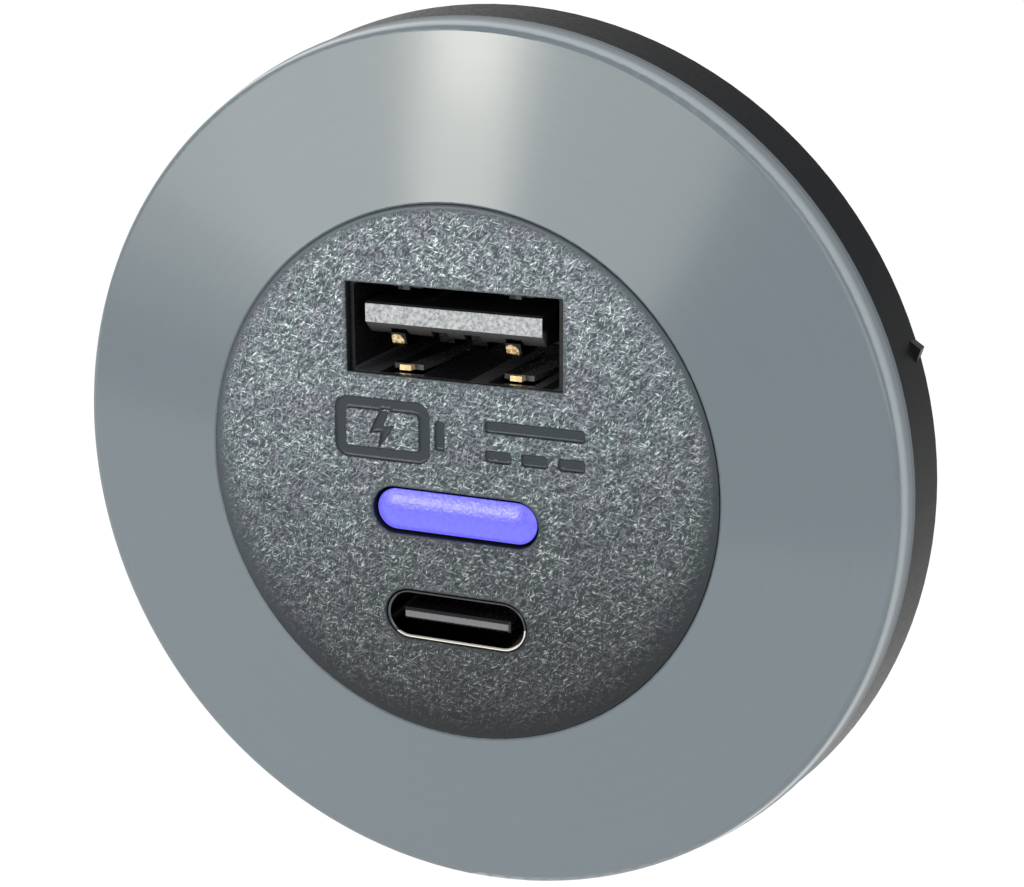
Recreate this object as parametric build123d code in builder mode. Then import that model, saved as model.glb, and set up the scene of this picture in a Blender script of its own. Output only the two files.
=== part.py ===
"""Round flush-mount charging socket for vehicle interiors: a type A and a type C port with a lit window.

All sizes are in millimetres. The socket's axis is Y and its face looks toward -Y. The front surface of
the panel is the plane Y = 0, X runs to the right of someone who faces the socket and Z runs up. A
"height" is measured from the panel toward the viewer, so what lies behind the panel has a negative one.
"""

import os
from math import cos, radians, sin, sqrt

from build123d import *

os.makedirs("parts", exist_ok=True)

# Face of the housing
face_radius = 15.5
face_height = 6.75
face_wall = 2.2
shoulder_width = 2.4
shoulder_drop = 0.3
flange_thickness = 2.2

# Barrel that goes through the panel. Its neck fits the base ring, and narrows behind the panel's front.
flange_width = 1.1
neck_step = 0.2
neck_taper = 1.0
barrel_wall = 1.2
cap_cavity_depth = 5.65
board_rest_count = 4
board_rest_width = 1.6
board_rest_reach = 1.5

# Snap fingers that hold the housing in the base ring
finger_count = 4
finger_width = 5.0
finger_slot = 0.8
finger_root_depth = 5.0
barb_reach = 0.8
barb_height = 1.3

# Key that keeps the face upright: a block under the flange, in a notch of the base ring's collar
key_angle = 270
key_width = 2.0
key_height = 1.2
key_clearance = 0.1

# Base ring, screwed to the panel. Its radii are built outward from the face.
collar_wall = 1.6
channel_width = 6.2
lip_wall = 0.8
shelf_width = 1.22
base_flare = 0.43
base_wall_height = 3.5
base_floor = 1.6
lip_height = 4.0
recess_ceiling = 1.5
bore_clearance = 0.15
seat_clearance = 0.1
screw_inset = 2.8
screw_count = 3
screw_hole_radius = 1.7
screw_head_radius = 3.2
boss_radius = 4.1
boss_height = 3.0
rib_thickness = 1.0
rib_height = 3.2
rim_lug_angle = 18.9
rim_lug_width = 1.9
rim_lug_height = 0.8
rim_lug_reach = 0.35

# Cover ring, snapped over the base ring
cover_overhang = 0.08
skirt_draft = 0.38
cover_edge_height = 5.03
cover_wall = 1.0
cover_edge_round = 0.45
cover_lip_break = 0.12
skirt_clearance = 0.1
cover_seat_clearance = 0.05
hook_count = 6
hook_width = 5.0
hook_thickness = 0.9
hook_reach = 0.5
hook_top = 1.85
hook_foot_height = 0.5
ledge_height = 1.0
hook_clearance = 0.15

# Rectangular port, type A
a_shell_margin = 0.07
a_window_margin = 0.05
a_window_overlap = 0.26
a_window_lip = 0.45
a_shell_width = 13.1
a_shell_height = 5.72
a_shell_wall = 0.3
a_shell_corner = 0.5
a_tongue_side_gap = 0.875
a_tongue_drop = 0.3
a_tongue_thickness = 1.84
a_tongue_recess = 0.1
a_tongue_top_chamfer = 0.14
a_tongue_bottom_chamfer = 0.7
a_base_length = 3.2
a_contact_places = (3.5, 1.0, -1.0, -3.5)
a_contact_width = 0.9
a_contact_thickness = 0.25
a_contact_bow = 0.7
a_contact_steepness = 0.3
a_outer_contact_recess = 0.4
a_inner_contact_setback = 1.0
a_spring_width = 1.8
a_spring_length = 6.0
a_spring_place = 3.4
a_spring_bow = 0.35
a_spring_setback = 0.6
a_spring_nib_width = 0.7
a_spring_nib_length = 0.5
pocket_clearance = 0.05

# Oval port, type C
c_shell_margin = 2.38
c_opening_width = 8.4
c_opening_height = 2.56
c_shell_wall = 0.18
c_mouth_recess = 0.08
c_tongue_side_gap = 0.855
c_tongue_thickness = 0.7
c_tongue_recess = 0.15
c_tongue_chamfer = 0.13
c_tongue_length = 5.9
c_mid_plate_thickness = 0.15
c_mid_plate_setback = 0.35
c_contact_count = 12
c_contact_margin = 0.595
c_contact_width = 0.26
c_contact_thickness = 0.1
c_contact_setback = 1.0

# Lit window
window_height = -2.2
window_width = 10.3
window_opening = 2.8
lens_clearance = 0.2
lens_recess = 0.03
lens_crown = 0.22
lens_crown_width = 0.7
pipe_flange_reach = 0.8
pipe_flange_thickness = 0.8
pipe_foot_width = 4.2
pipe_foot_height = 1.9
pipe_air_gap = 0.2
led_width = 3.0
led_depth = 1.4
led_thickness = 0.75
led_well_margin = 0.25

# Boards and what stands on them
board_front_depth = 6.75
board_thickness = 1.6
board_clearance = 0.4
board_gap = 8.4
tab_hole_radius = 0.95
tail_hole_radius = 0.6
solder_length = 0.9
shell_tab_width = 1.5
controller_size = 4.0
controller_thickness = 0.9
controller_place = (2.6, -2.2)
header_inset = 4.0
header_pitch = 2.54
header_pins_count = 4
header_pin_size = 0.64
header_hole_radius = 0.5
header_body_height = 2.5
regulator_place = (-6.6, -3.9)
regulator_width = 3.9
regulator_length = 4.9
regulator_thickness = 1.5
regulator_standoff = 0.1
lead_pitch = 1.27
lead_count = 4
lead_width = 0.42
lead_thickness = 0.2
lead_reach = 1.05
lead_shoulder_reach = 0.42
lead_bend_reach = 0.53
inductor_place = (-4.6, 3.2)
inductor_size = 7.0
inductor_thickness = 4.5
inductor_corner = 1.5
inductor_core_radius = 2.38
inductor_core_groove = 0.28
capacitor_place = (0.4, -7.4)
capacitor_radius = 3.15
capacitor_neck = 0.3
capacitor_length = 7.7
capacitor_base = 6.6
capacitor_base_thickness = 0.8
chip_place = (2.2, 3.2)
chip_length = 3.2
chip_width = 1.6
chip_pitch = 2.2
chip_count = 3
fuse_place = 6.6
fuse_length = 6.1
fuse_width = 2.6
fuse_thickness = 2.2
fuse_body_length = 3.7
fuse_waist = 0.15
diode_place = -6.6
diode_length = 4.3
diode_width = 2.6
diode_thickness = 2.2

# Spacer, rear cap and terminals
sleeve_wall = 1.2
sleeve_clearance = 0.1
spacer_window_count = 4
cap_thickness = 1.6
cap_margin = 0.2
cap_snap_count = 4
cap_snap_width = 4.6
cap_snap_reach = 0.9
cap_snap_height = 1.4
cap_snap_inset = 3.6
cap_snap_clearance = 0.15
terminal_place = 5.0
terminal_width = 6.3
terminal_thickness = 0.8
terminal_length = 8.0
terminal_shoulder_width = 8.2
terminal_shoulder_length = 1.4
terminal_leg_width = 1.2
terminal_leg_place = 2.4
terminal_slot_clearance = 0.1

# Sizes that follow from the ones above
seam_height = face_height - shoulder_drop
flange_rear_height = face_height - flange_thickness
face_rear_height = face_height - face_wall
neck_radius = face_radius - flange_width
barrel_radius = neck_radius - neck_step
barrel_inner_radius = barrel_radius - barrel_wall
bore_radius = neck_radius + bore_clearance
seat_radius = face_radius + seat_clearance
cover_inner_radius = face_radius + seat_clearance
collar_radius = seat_radius + collar_wall
screw_circle_radius = collar_radius + screw_inset
channel_outer_radius = collar_radius + channel_width
lip_radius = channel_outer_radius + lip_wall
base_front_radius = lip_radius + shelf_width
base_rear_radius = base_front_radius + base_flare
cover_foot_radius = base_front_radius + cover_overhang
cover_edge_radius = cover_foot_radius - skirt_draft
cover_slope = (seam_height - cover_edge_height) / (cover_edge_radius - cover_inner_radius)
skirt_inner_radius = lip_radius + skirt_clearance
ledge_inner_radius = channel_outer_radius - hook_reach - hook_clearance / 2
hook_outer_radius = ledge_inner_radius - hook_clearance
hook_inner_radius = hook_outer_radius - hook_thickness
board_radius = barrel_inner_radius - board_clearance
power_board_front_depth = board_front_depth + board_thickness + board_gap
power_board_rear_depth = power_board_front_depth + board_thickness
sleeve_outer_radius = barrel_inner_radius - sleeve_clearance
sleeve_inner_radius = sleeve_outer_radius - sleeve_wall
barrel_depth = power_board_rear_depth + cap_cavity_depth
cap_snap_depth = barrel_depth - cap_snap_inset
header_place = board_radius - header_inset
a_height = sqrt(barrel_inner_radius**2 - (a_shell_width / 2) ** 2) - a_shell_height / 2 - a_shell_margin
a_window_width = a_shell_width + 2 * a_window_margin
a_window_height = a_shell_height - 2 * a_window_overlap
a_mouth_height = face_height - a_window_lip
a_inner_width = a_shell_width - 2 * a_shell_wall
a_inner_height = a_shell_height - 2 * a_shell_wall
a_tongue_width = a_inner_width - 2 * a_tongue_side_gap
a_tongue_level = a_height - a_tongue_drop
a_tongue_tip = face_height - a_tongue_recess
a_base_front = -board_front_depth + a_base_length
c_shell_width = c_opening_width + 2 * c_shell_wall
c_shell_height = c_opening_height + 2 * c_shell_wall
c_height = -sqrt(barrel_inner_radius**2 - (c_shell_width / 2) ** 2) + c_shell_height / 2 + c_shell_margin
c_mouth_height = face_height - c_mouth_recess
c_tongue_tip = face_height - c_tongue_recess
c_base_front = c_tongue_tip - c_tongue_length
c_tongue_width = c_opening_width - 2 * c_tongue_side_gap
c_contact_pitch = (c_tongue_width - 2 * c_contact_margin) / (c_contact_count - 1)
lens_width = window_width - 2 * lens_clearance
lens_thickness = window_opening - 2 * lens_clearance
tail_end = -board_front_depth - board_thickness - solder_length


def radial_plane(angle):
    """Plane through the axis: x is the radius at this angle, y the height above the panel."""
    c, s = cos(radians(angle)), sin(radians(angle))
    return Plane(origin=(0, 0, 0), x_dir=(c, 0, s), z_dir=(s, 0, -c))


def wall_plane(angle):
    """Plane on the axis that faces outward at this angle: x is sideways, y the height above the panel."""
    c, s = cos(radians(angle)), sin(radians(angle))
    return Plane(origin=(0, 0, 0), x_dir=(-s, 0, c), z_dir=(c, 0, s))


def front_plane(height):
    """Plane parallel to the panel at this height, seen from the front."""
    return Plane.XZ.offset(height)


def angles_of(count, start=0.0):
    """Evenly spaced angles round the axis."""
    return [start + index * 360.0 / count for index in range(count)]


def cover_underside(radius):
    """Height of the cover ring's underside at this radius."""
    return seam_height - cover_wall - (radius - cover_inner_radius) * cover_slope


section = radial_plane(0)
finger_angles = angles_of(finger_count)
rest_angles = angles_of(board_rest_count, 180 / board_rest_count)
spacer_window_angles = angles_of(spacer_window_count)
snap_angles = angles_of(cap_snap_count, 180 / cap_snap_count)
hook_angles = angles_of(hook_count, 180 / hook_count)
rib_angles = angles_of(screw_count, 180 / screw_count)

# Cover ring: a thin conical shell with a short skirt. Six hooks reach down into the base ring.
with BuildPart() as cover_ring:
    with BuildSketch(section) as cover_profile:
        with BuildLine():
            Polyline(
                (cover_inner_radius, seam_height),
                (cover_edge_radius, cover_edge_height),
                (cover_foot_radius, base_wall_height),
                (skirt_inner_radius, base_wall_height),
                (skirt_inner_radius, cover_underside(skirt_inner_radius)),
                (cover_inner_radius, cover_underside(cover_inner_radius)),
                close=True,
            )
        make_face()
        outer_corner = cover_profile.vertices().sort_by_distance((cover_edge_radius, cover_edge_height))[0]
        fillet(outer_corner, radius=cover_edge_round)
        seam_corner = cover_profile.vertices().sort_by_distance((cover_inner_radius, seam_height))[0]
        chamfer(seam_corner, length=cover_lip_break)
    revolve(axis=Axis.Y)
    with BuildSketch(*[radial_plane(angle) for angle in hook_angles]):
        with BuildLine():
            Polyline(
                (hook_inner_radius, cover_underside(hook_inner_radius) + cover_wall / 3),
                (hook_outer_radius, cover_underside(hook_outer_radius) + cover_wall / 3),
                (hook_outer_radius, hook_top),
                (hook_outer_radius + hook_reach, hook_top),
                (hook_outer_radius + hook_reach / 4, hook_foot_height),
                (hook_inner_radius, hook_foot_height),
                close=True,
            )
        make_face()
    extrude(amount=hook_width / 2, both=True)
cover_ring.part.label = "cover_ring"
export_step(cover_ring.part, "parts/cover_ring.step")

# Base ring: a channel-section moulding with an inner collar for the housing and an outer wall that
# carries the cover ring. Ledges over windows in the floor catch the cover's hooks.
with BuildPart() as base_ring:
    with BuildSketch(section):
        with BuildLine():
            Polyline(
                (seat_radius, 0),
                (seat_radius, recess_ceiling),
                (bore_radius, recess_ceiling),
                (bore_radius, flange_rear_height),
                (seat_radius, flange_rear_height),
                (seat_radius, cover_underside(seat_radius) - cover_seat_clearance),
                (collar_radius, cover_underside(collar_radius) - cover_seat_clearance),
                (collar_radius, base_floor),
                (channel_outer_radius, base_floor),
                (channel_outer_radius, lip_height),
                (lip_radius, lip_height),
                (lip_radius, base_wall_height),
                (base_front_radius, base_wall_height),
                (base_rear_radius, 0),
                close=True,
            )
        make_face()
    revolve(axis=Axis.Y)
    with BuildSketch(front_plane(base_floor)):
        with PolarLocations(screw_circle_radius, screw_count):
            Circle(boss_radius)
        Circle(collar_radius - collar_wall / 2, mode=Mode.SUBTRACT)
    extrude(amount=boss_height - base_floor)
    with BuildSketch(*[radial_plane(angle) for angle in rib_angles]):
        with BuildLine():
            Polyline(
                (collar_radius - collar_wall / 2, base_floor / 2),
                (collar_radius - collar_wall / 2, rib_height),
                (lip_radius - rib_thickness / 2, rib_height),
                (lip_radius - rib_thickness / 2, base_floor / 2),
                close=True,
            )
        make_face()
    extrude(amount=rib_thickness / 2, both=True)
    with BuildSketch(*[radial_plane(angle) for angle in hook_angles]):
        with BuildLine():
            Polyline(
                (ledge_inner_radius, hook_top + hook_clearance),
                (ledge_inner_radius, hook_top + hook_clearance + ledge_height),
                (lip_radius - rib_thickness / 2, hook_top + hook_clearance + ledge_height),
                (lip_radius - rib_thickness / 2, hook_top + hook_clearance),
                close=True,
            )
        make_face()
    extrude(amount=hook_width / 2, both=True)
    with BuildSketch(*[radial_plane(angle) for angle in hook_angles]):
        with BuildLine():
            Polyline(
                (hook_inner_radius - hook_clearance, 0),
                (hook_inner_radius - hook_clearance, base_floor),
                (channel_outer_radius, base_floor),
                (channel_outer_radius, 0),
                close=True,
            )
        make_face()
    extrude(amount=hook_width / 2 + hook_clearance, both=True, mode=Mode.SUBTRACT)
    with Locations(front_plane(boss_height)):
        with PolarLocations(screw_circle_radius, screw_count):
            CounterSinkHole(screw_hole_radius, screw_head_radius, depth=boss_height)
    with BuildSketch(front_plane(0)):
        with BuildLine(Plane.XY.rotated((0, 0, rim_lug_angle))):
            Polyline(
                (lip_radius, -rim_lug_width / 2),
                (base_rear_radius - rim_lug_reach, -rim_lug_width / 2),
                (base_rear_radius + rim_lug_reach, 0),
                (base_rear_radius - rim_lug_reach, rim_lug_width / 2),
                (lip_radius, rim_lug_width / 2),
                close=True,
            )
        make_face()
    extrude(amount=rim_lug_height)
    with BuildSketch(radial_plane(key_angle)):
        with BuildLine():
            Polyline(
                (barrel_radius, flange_rear_height - key_height - key_clearance),
                (seat_radius, flange_rear_height - key_height - key_clearance),
                (seat_radius, flange_rear_height),
                (barrel_radius, flange_rear_height),
                close=True,
            )
        make_face()
    extrude(amount=key_width / 2 + key_clearance, both=True, mode=Mode.SUBTRACT)
base_ring.part.label = "base_ring"
export_step(base_ring.part, "parts/base_ring.step")

# Front housing: face and barrel in one moulding. Four fingers between slots in the barrel's wall carry
# barbs that catch behind the base ring, four ribs inside give the port board its rest, and a key
# under the flange keeps the face upright.
with BuildPart() as front_housing:
    with BuildSketch(section):
        with BuildLine():
            Line((0, face_height), (face_radius - shoulder_width, face_height))
            TangentArc(
                (face_radius - shoulder_width, face_height),
                (face_radius, seam_height),
                tangent=(1, 0),
            )
            Polyline(
                (face_radius, seam_height),
                (face_radius, flange_rear_height),
                (neck_radius, flange_rear_height),
                (neck_radius, 0),
                (barrel_radius, -neck_taper),
                (barrel_radius, -barrel_depth),
                (barrel_inner_radius, -barrel_depth),
                (barrel_inner_radius, face_rear_height),
                (0, face_rear_height),
                (0, face_height),
            )
        make_face()
    revolve(axis=Axis.Y)
    with BuildSketch(front_plane(face_rear_height)):
        with PolarLocations(barrel_inner_radius, board_rest_count, start_angle=rest_angles[0]):
            Rectangle(2 * board_rest_reach, board_rest_width)
        Circle(barrel_radius - barrel_wall / 2, mode=Mode.INTERSECT)
    extrude(amount=-(face_rear_height + board_front_depth))
    with BuildSketch(radial_plane(key_angle)):
        with BuildLine():
            Polyline(
                (barrel_radius - barrel_wall / 2, flange_rear_height - key_height),
                (face_radius, flange_rear_height - key_height),
                (face_radius, flange_rear_height + flange_thickness / 2),
                (barrel_radius - barrel_wall / 2, flange_rear_height + flange_thickness / 2),
                close=True,
            )
        make_face()
    extrude(amount=key_width / 2, both=True)
    with BuildSketch(*[wall_plane(angle) for angle in finger_angles]):
        with BuildLine():
            finger_half = finger_width / 2
            Polyline(
                (-finger_half - finger_slot, -finger_root_depth),
                (-finger_half - finger_slot, barb_height + finger_slot),
                (finger_half + finger_slot, barb_height + finger_slot),
                (finger_half + finger_slot, -finger_root_depth),
                (finger_half, -finger_root_depth),
                (finger_half, barb_height),
                (-finger_half, barb_height),
                (-finger_half, -finger_root_depth),
                close=True,
            )
        make_face()
    extrude(amount=barrel_radius + barrel_wall, mode=Mode.SUBTRACT)
    with BuildSketch(*[radial_plane(angle) for angle in finger_angles]):
        with BuildLine():
            Polyline(
                (barrel_radius - barrel_wall / 2, barb_height),
                (neck_radius + barb_reach, barb_height),
                (neck_radius + barb_reach, barb_height * 3 / 4),
                (barrel_radius - barrel_wall / 2, barb_height / 10),
                close=True,
            )
        make_face()
    extrude(amount=finger_width / 2, both=True)
    with BuildSketch(*[wall_plane(angle) for angle in snap_angles]):
        with Locations((0, -cap_snap_depth)):
            Rectangle(cap_snap_width + 2 * cap_snap_clearance, cap_snap_height + 2 * cap_snap_clearance)
    extrude(amount=barrel_radius + barrel_wall, mode=Mode.SUBTRACT)
    with BuildSketch(front_plane(face_height)):
        with Locations((0, a_height)):
            Rectangle(a_window_width, a_window_height)
        with Locations((0, c_height)):
            SlotOverall(c_shell_width + 2 * pocket_clearance, c_shell_height + 2 * pocket_clearance)
        with Locations((0, window_height)):
            SlotOverall(window_width, window_opening)
    extrude(amount=-face_wall, mode=Mode.SUBTRACT)
    with BuildSketch(front_plane(a_mouth_height)):
        with Locations((0, a_height)):
            RectangleRounded(
                a_shell_width + 2 * pocket_clearance,
                a_shell_height + 2 * pocket_clearance,
                a_shell_corner + pocket_clearance,
            )
    extrude(amount=-(a_mouth_height - face_rear_height), mode=Mode.SUBTRACT)
front_housing.part.label = "front_housing"
export_step(front_housing.part, "parts/front_housing.step")

# Light pipe: a stadium lens with a flange behind the face and a stem that narrows to the lamp.
pipe_flange_front = face_rear_height
pipe_flange_rear = pipe_flange_front - pipe_flange_thickness
led_top = -board_front_depth + led_thickness
with BuildPart() as light_pipe:
    with BuildSketch(front_plane(face_height - lens_recess)):
        with Locations((0, window_height)):
            SlotOverall(lens_width, lens_thickness)
    extrude(amount=-(face_height - lens_recess - pipe_flange_front))
    chamfer(light_pipe.edges().group_by(Axis.Y)[0], length=lens_crown, length2=lens_crown_width)
    with BuildSketch(front_plane(pipe_flange_front)):
        with Locations((0, window_height)):
            SlotOverall(lens_width + 2 * pipe_flange_reach, lens_thickness + 2 * pipe_flange_reach)
    extrude(amount=-pipe_flange_thickness)
    with BuildSketch(front_plane(pipe_flange_rear)):
        with Locations((0, window_height)):
            SlotOverall(lens_width, lens_thickness)
    with BuildSketch(front_plane(led_top + pipe_air_gap)):
        with Locations((0, window_height)):
            SlotOverall(pipe_foot_width, pipe_foot_height)
    loft()
light_pipe.part.label = "light_pipe"
export_step(light_pipe.part, "parts/light_pipe.step")

# Status lamp on the port board, under the light pipe's foot.
with BuildPart() as status_led:
    with BuildSketch(front_plane(-board_front_depth)):
        with Locations((0, window_height)):
            Rectangle(led_width, led_depth)
    extrude(amount=led_thickness)
    with BuildSketch(front_plane(led_top)):
        with Locations((0, window_height)):
            RectangleRounded(
                led_width - 2 * led_well_margin,
                led_depth - 2 * led_well_margin,
                led_well_margin,
            )
    extrude(amount=-led_thickness / 5, mode=Mode.SUBTRACT)
status_led.part.label = "status_led"
export_step(status_led.part, "parts/status_led.step")

# Type A shell: a folded steel tube with four spring fingers, two in the floor and two in the roof, that
# bow inward to grip the plug and end in a narrow nib, and two legs through the board.
spring_mid_height = a_mouth_height - a_spring_setback - a_spring_length / 2
spring_root_height = spring_mid_height - a_spring_length / 2
spring_tip_height = spring_mid_height + a_spring_length / 2
with BuildPart() as usb_a_shell:
    with BuildSketch(front_plane(a_mouth_height)):
        with Locations((0, a_height)):
            RectangleRounded(a_shell_width, a_shell_height, a_shell_corner)
            RectangleRounded(
                a_inner_width,
                a_inner_height,
                a_shell_corner - a_shell_wall,
                mode=Mode.SUBTRACT,
            )
    extrude(amount=-(a_mouth_height + board_front_depth))
    with BuildSketch(front_plane(-board_front_depth)):
        with Locations(
            (-(a_shell_width - a_shell_wall) / 2, a_height),
            ((a_shell_width - a_shell_wall) / 2, a_height),
        ):
            Rectangle(a_shell_wall, shell_tab_width)
    extrude(amount=-(board_thickness + solder_length))
    with BuildSketch(Plane.XY):
        with Locations((-a_spring_place, -spring_mid_height), (a_spring_place, -spring_mid_height)):
            Rectangle(a_spring_width + 2 * a_shell_wall, a_spring_length + 2 * a_shell_wall)
    extrude(amount=a_height + a_shell_height, mode=Mode.SUBTRACT)
    for side in (-1, 1):
        wall_middle = a_height + side * (a_shell_height - a_shell_wall) / 2
        bowed = wall_middle - side * a_spring_bow
        with BuildSketch(Plane.YZ.offset(-a_spring_place), Plane.YZ.offset(a_spring_place)):
            with BuildLine():
                Polyline(
                    (-spring_root_height + 2 * a_shell_wall, wall_middle),
                    (-spring_root_height - a_shell_wall, wall_middle),
                    (-spring_tip_height + a_spring_nib_length, bowed),
                )
            trace(line_width=a_shell_wall)
        extrude(amount=a_spring_width / 2, both=True)
        with BuildSketch(Plane.YZ.offset(-a_spring_place), Plane.YZ.offset(a_spring_place)):
            with BuildLine():
                Polyline(
                    (-spring_tip_height + 2 * a_spring_nib_length, bowed + side * a_shell_wall / 8),
                    (-spring_tip_height, bowed - side * a_shell_wall / 8),
                )
            trace(line_width=a_shell_wall)
        extrude(amount=a_spring_nib_width / 2, both=True)
usb_a_shell.part.label = "usb_a_shell"
export_step(usb_a_shell.part, "parts/usb_a_shell.step")

# Type A insulator: a base block that fills the shell's rear and a tongue in the upper half of the
# opening. Four grooves under the tongue carry the contacts.
groove_depth = a_contact_thickness + 2 * pocket_clearance
with BuildPart() as usb_a_insulator:
    with BuildSketch(front_plane(-board_front_depth)):
        with Locations((0, a_height)):
            RectangleRounded(
                a_inner_width - 2 * pocket_clearance,
                a_inner_height - 2 * pocket_clearance,
                a_shell_corner - a_shell_wall,
            )
    extrude(amount=a_base_length)
    with BuildSketch(Plane.YZ):
        with BuildLine():
            Polyline(
                (-a_base_front + a_base_length / 2, a_tongue_level),
                (-a_tongue_tip + a_tongue_bottom_chamfer, a_tongue_level),
                (-a_tongue_tip, a_tongue_level + a_tongue_bottom_chamfer),
                (-a_tongue_tip, a_tongue_level + a_tongue_thickness - a_tongue_top_chamfer),
                (-a_tongue_tip + a_tongue_top_chamfer, a_tongue_level + a_tongue_thickness),
                (-a_base_front + a_base_length / 2, a_tongue_level + a_tongue_thickness),
                close=True,
            )
        make_face()
    extrude(amount=a_tongue_width / 2, both=True)
    with BuildSketch(front_plane(-board_front_depth)):
        with Locations([(place, a_tongue_level + groove_depth / 2) for place in a_contact_places]):
            Rectangle(a_contact_width + 2 * pocket_clearance, groove_depth)
    extrude(amount=a_tongue_tip + board_front_depth, mode=Mode.SUBTRACT)
usb_a_insulator.part.label = "usb_a_insulator"
export_step(usb_a_insulator.part, "parts/usb_a_insulator.step")

# Type A contacts: stamped strips that lie in the tongue's grooves and bow down near the tip. The two
# outer ones reach further forward, so that power connects first.
contact_middle = a_tongue_level + a_contact_thickness / 2 + pocket_clearance
contact_low = a_tongue_level - a_contact_bow + a_contact_thickness / 2
for index, place in enumerate(a_contact_places, start=1):
    is_outer = abs(place) == max(a_contact_places)
    tip_recess = a_outer_contact_recess if is_outer else a_outer_contact_recess + a_inner_contact_setback
    tip_y = -a_tongue_tip + tip_recess
    with BuildPart() as usb_a_contact:
        with BuildSketch(Plane.YZ.offset(place)):
            with BuildLine():
                FilletPolyline(
                    (-tail_end, contact_middle),
                    (tip_y + 8 * a_contact_bow, contact_middle),
                    (tip_y + 2 * a_contact_bow, contact_low),
                    (tip_y + a_contact_steepness, contact_low),
                    (tip_y, contact_middle),
                    radius=a_contact_thickness,
                )
            trace(line_width=a_contact_thickness)
        extrude(amount=a_contact_width / 2, both=True)
    usb_a_contact.part.label = f"usb_a_contact_{index}"
    export_step(usb_a_contact.part, f"parts/usb_a_contact_{index}.step")

# Type C shell: a drawn oval tube whose rolled rim shows in the face, with two legs through the board.
with BuildPart() as usb_c_shell:
    with BuildSketch(front_plane(c_mouth_height)):
        with Locations((0, c_height)):
            SlotOverall(c_shell_width, c_shell_height)
            SlotOverall(c_opening_width, c_opening_height, mode=Mode.SUBTRACT)
    extrude(amount=-(c_mouth_height + board_front_depth))
    chamfer(usb_c_shell.edges().group_by(Axis.Y)[0], length=c_shell_wall / 3)
    with BuildSketch(front_plane(-board_front_depth)):
        with Locations(
            (-(c_shell_width - c_shell_wall) / 2, c_height),
            ((c_shell_width - c_shell_wall) / 2, c_height),
        ):
            Rectangle(c_shell_wall, c_opening_height / 2)
    extrude(amount=-(board_thickness + solder_length))
usb_c_shell.part.label = "usb_c_shell"
export_step(usb_c_shell.part, "parts/usb_c_shell.step")

# Type C insulator: an oval base with a thin tongue. A slot takes the steel mid plate, and grooves in
# both faces take the contacts.
c_contact_span = c_tongue_tip - c_contact_setback + board_front_depth
c_contact_offset = (c_tongue_thickness - c_contact_thickness) / 2
with BuildPart() as usb_c_insulator:
    with BuildSketch(front_plane(-board_front_depth)):
        with Locations((0, c_height)):
            SlotOverall(c_opening_width - 2 * pocket_clearance, c_opening_height - 2 * pocket_clearance)
    extrude(amount=c_base_front + board_front_depth)
    with BuildSketch(front_plane(-board_front_depth)):
        with Locations((0, c_height)):
            Rectangle(c_tongue_width, c_tongue_thickness)
    extrude(amount=c_tongue_tip + board_front_depth)
    chamfer(usb_c_insulator.edges().group_by(Axis.Y)[0], length=c_tongue_chamfer)
    with BuildSketch(front_plane(-board_front_depth)):
        with Locations((0, c_height)):
            Rectangle(c_tongue_width, c_mid_plate_thickness)
    extrude(amount=c_tongue_tip - c_mid_plate_setback + board_front_depth, mode=Mode.SUBTRACT)
    with BuildSketch(front_plane(-board_front_depth)):
        with Locations((0, c_height - c_contact_offset), (0, c_height + c_contact_offset)):
            with GridLocations(c_contact_pitch, 1, c_contact_count, 1):
                Rectangle(c_contact_width, c_contact_thickness)
    extrude(amount=c_contact_span, mode=Mode.SUBTRACT)
usb_c_insulator.part.label = "usb_c_insulator"
export_step(usb_c_insulator.part, "parts/usb_c_insulator.step")

# Mid plate: the steel sheet in the middle of the type C tongue, which the plug's side springs grip.
with BuildPart() as usb_c_mid_plate:
    with BuildSketch(front_plane(-board_front_depth)):
        with Locations((0, c_height)):
            Rectangle(c_tongue_width, c_mid_plate_thickness)
    extrude(amount=c_tongue_tip - c_mid_plate_setback + board_front_depth)
usb_c_mid_plate.part.label = "usb_c_mid_plate"
export_step(usb_c_mid_plate.part, "parts/usb_c_mid_plate.step")

# Type C contacts: twelve flat strips in each face of the tongue, one group per face.
for face_name, side in (("upper", 1), ("lower", -1)):
    with BuildPart() as c_contacts:
        with BuildSketch(front_plane(-board_front_depth)):
            with Locations((0, c_height + side * c_contact_offset)):
                with GridLocations(c_contact_pitch, 1, c_contact_count, 1):
                    Rectangle(c_contact_width, c_contact_thickness)
        extrude(amount=c_contact_span)
    c_contacts.part.label = f"usb_c_{face_name}_contacts"
    export_step(c_contacts.part, f"parts/usb_c_{face_name}_contacts.step")

# Port board: carries both ports and the lamp, and rests against the ribs inside the barrel.
with BuildPart() as port_board:
    with BuildSketch(front_plane(-board_front_depth)):
        Circle(board_radius)
        with Locations([(place, contact_middle) for place in a_contact_places]):
            Circle(tail_hole_radius, mode=Mode.SUBTRACT)
        with Locations(
            (-(a_shell_width - a_shell_wall) / 2, a_height),
            ((a_shell_width - a_shell_wall) / 2, a_height),
            (-(c_shell_width - c_shell_wall) / 2, c_height),
            ((c_shell_width - c_shell_wall) / 2, c_height),
        ):
            Circle(tab_hole_radius, mode=Mode.SUBTRACT)
        with Locations((header_place, 0)):
            with GridLocations(1, header_pitch, 1, header_pins_count):
                Circle(header_hole_radius, mode=Mode.SUBTRACT)
    extrude(amount=-board_thickness)
port_board.part.label = "port_board"
export_step(port_board.part, "parts/port_board.step")

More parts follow.
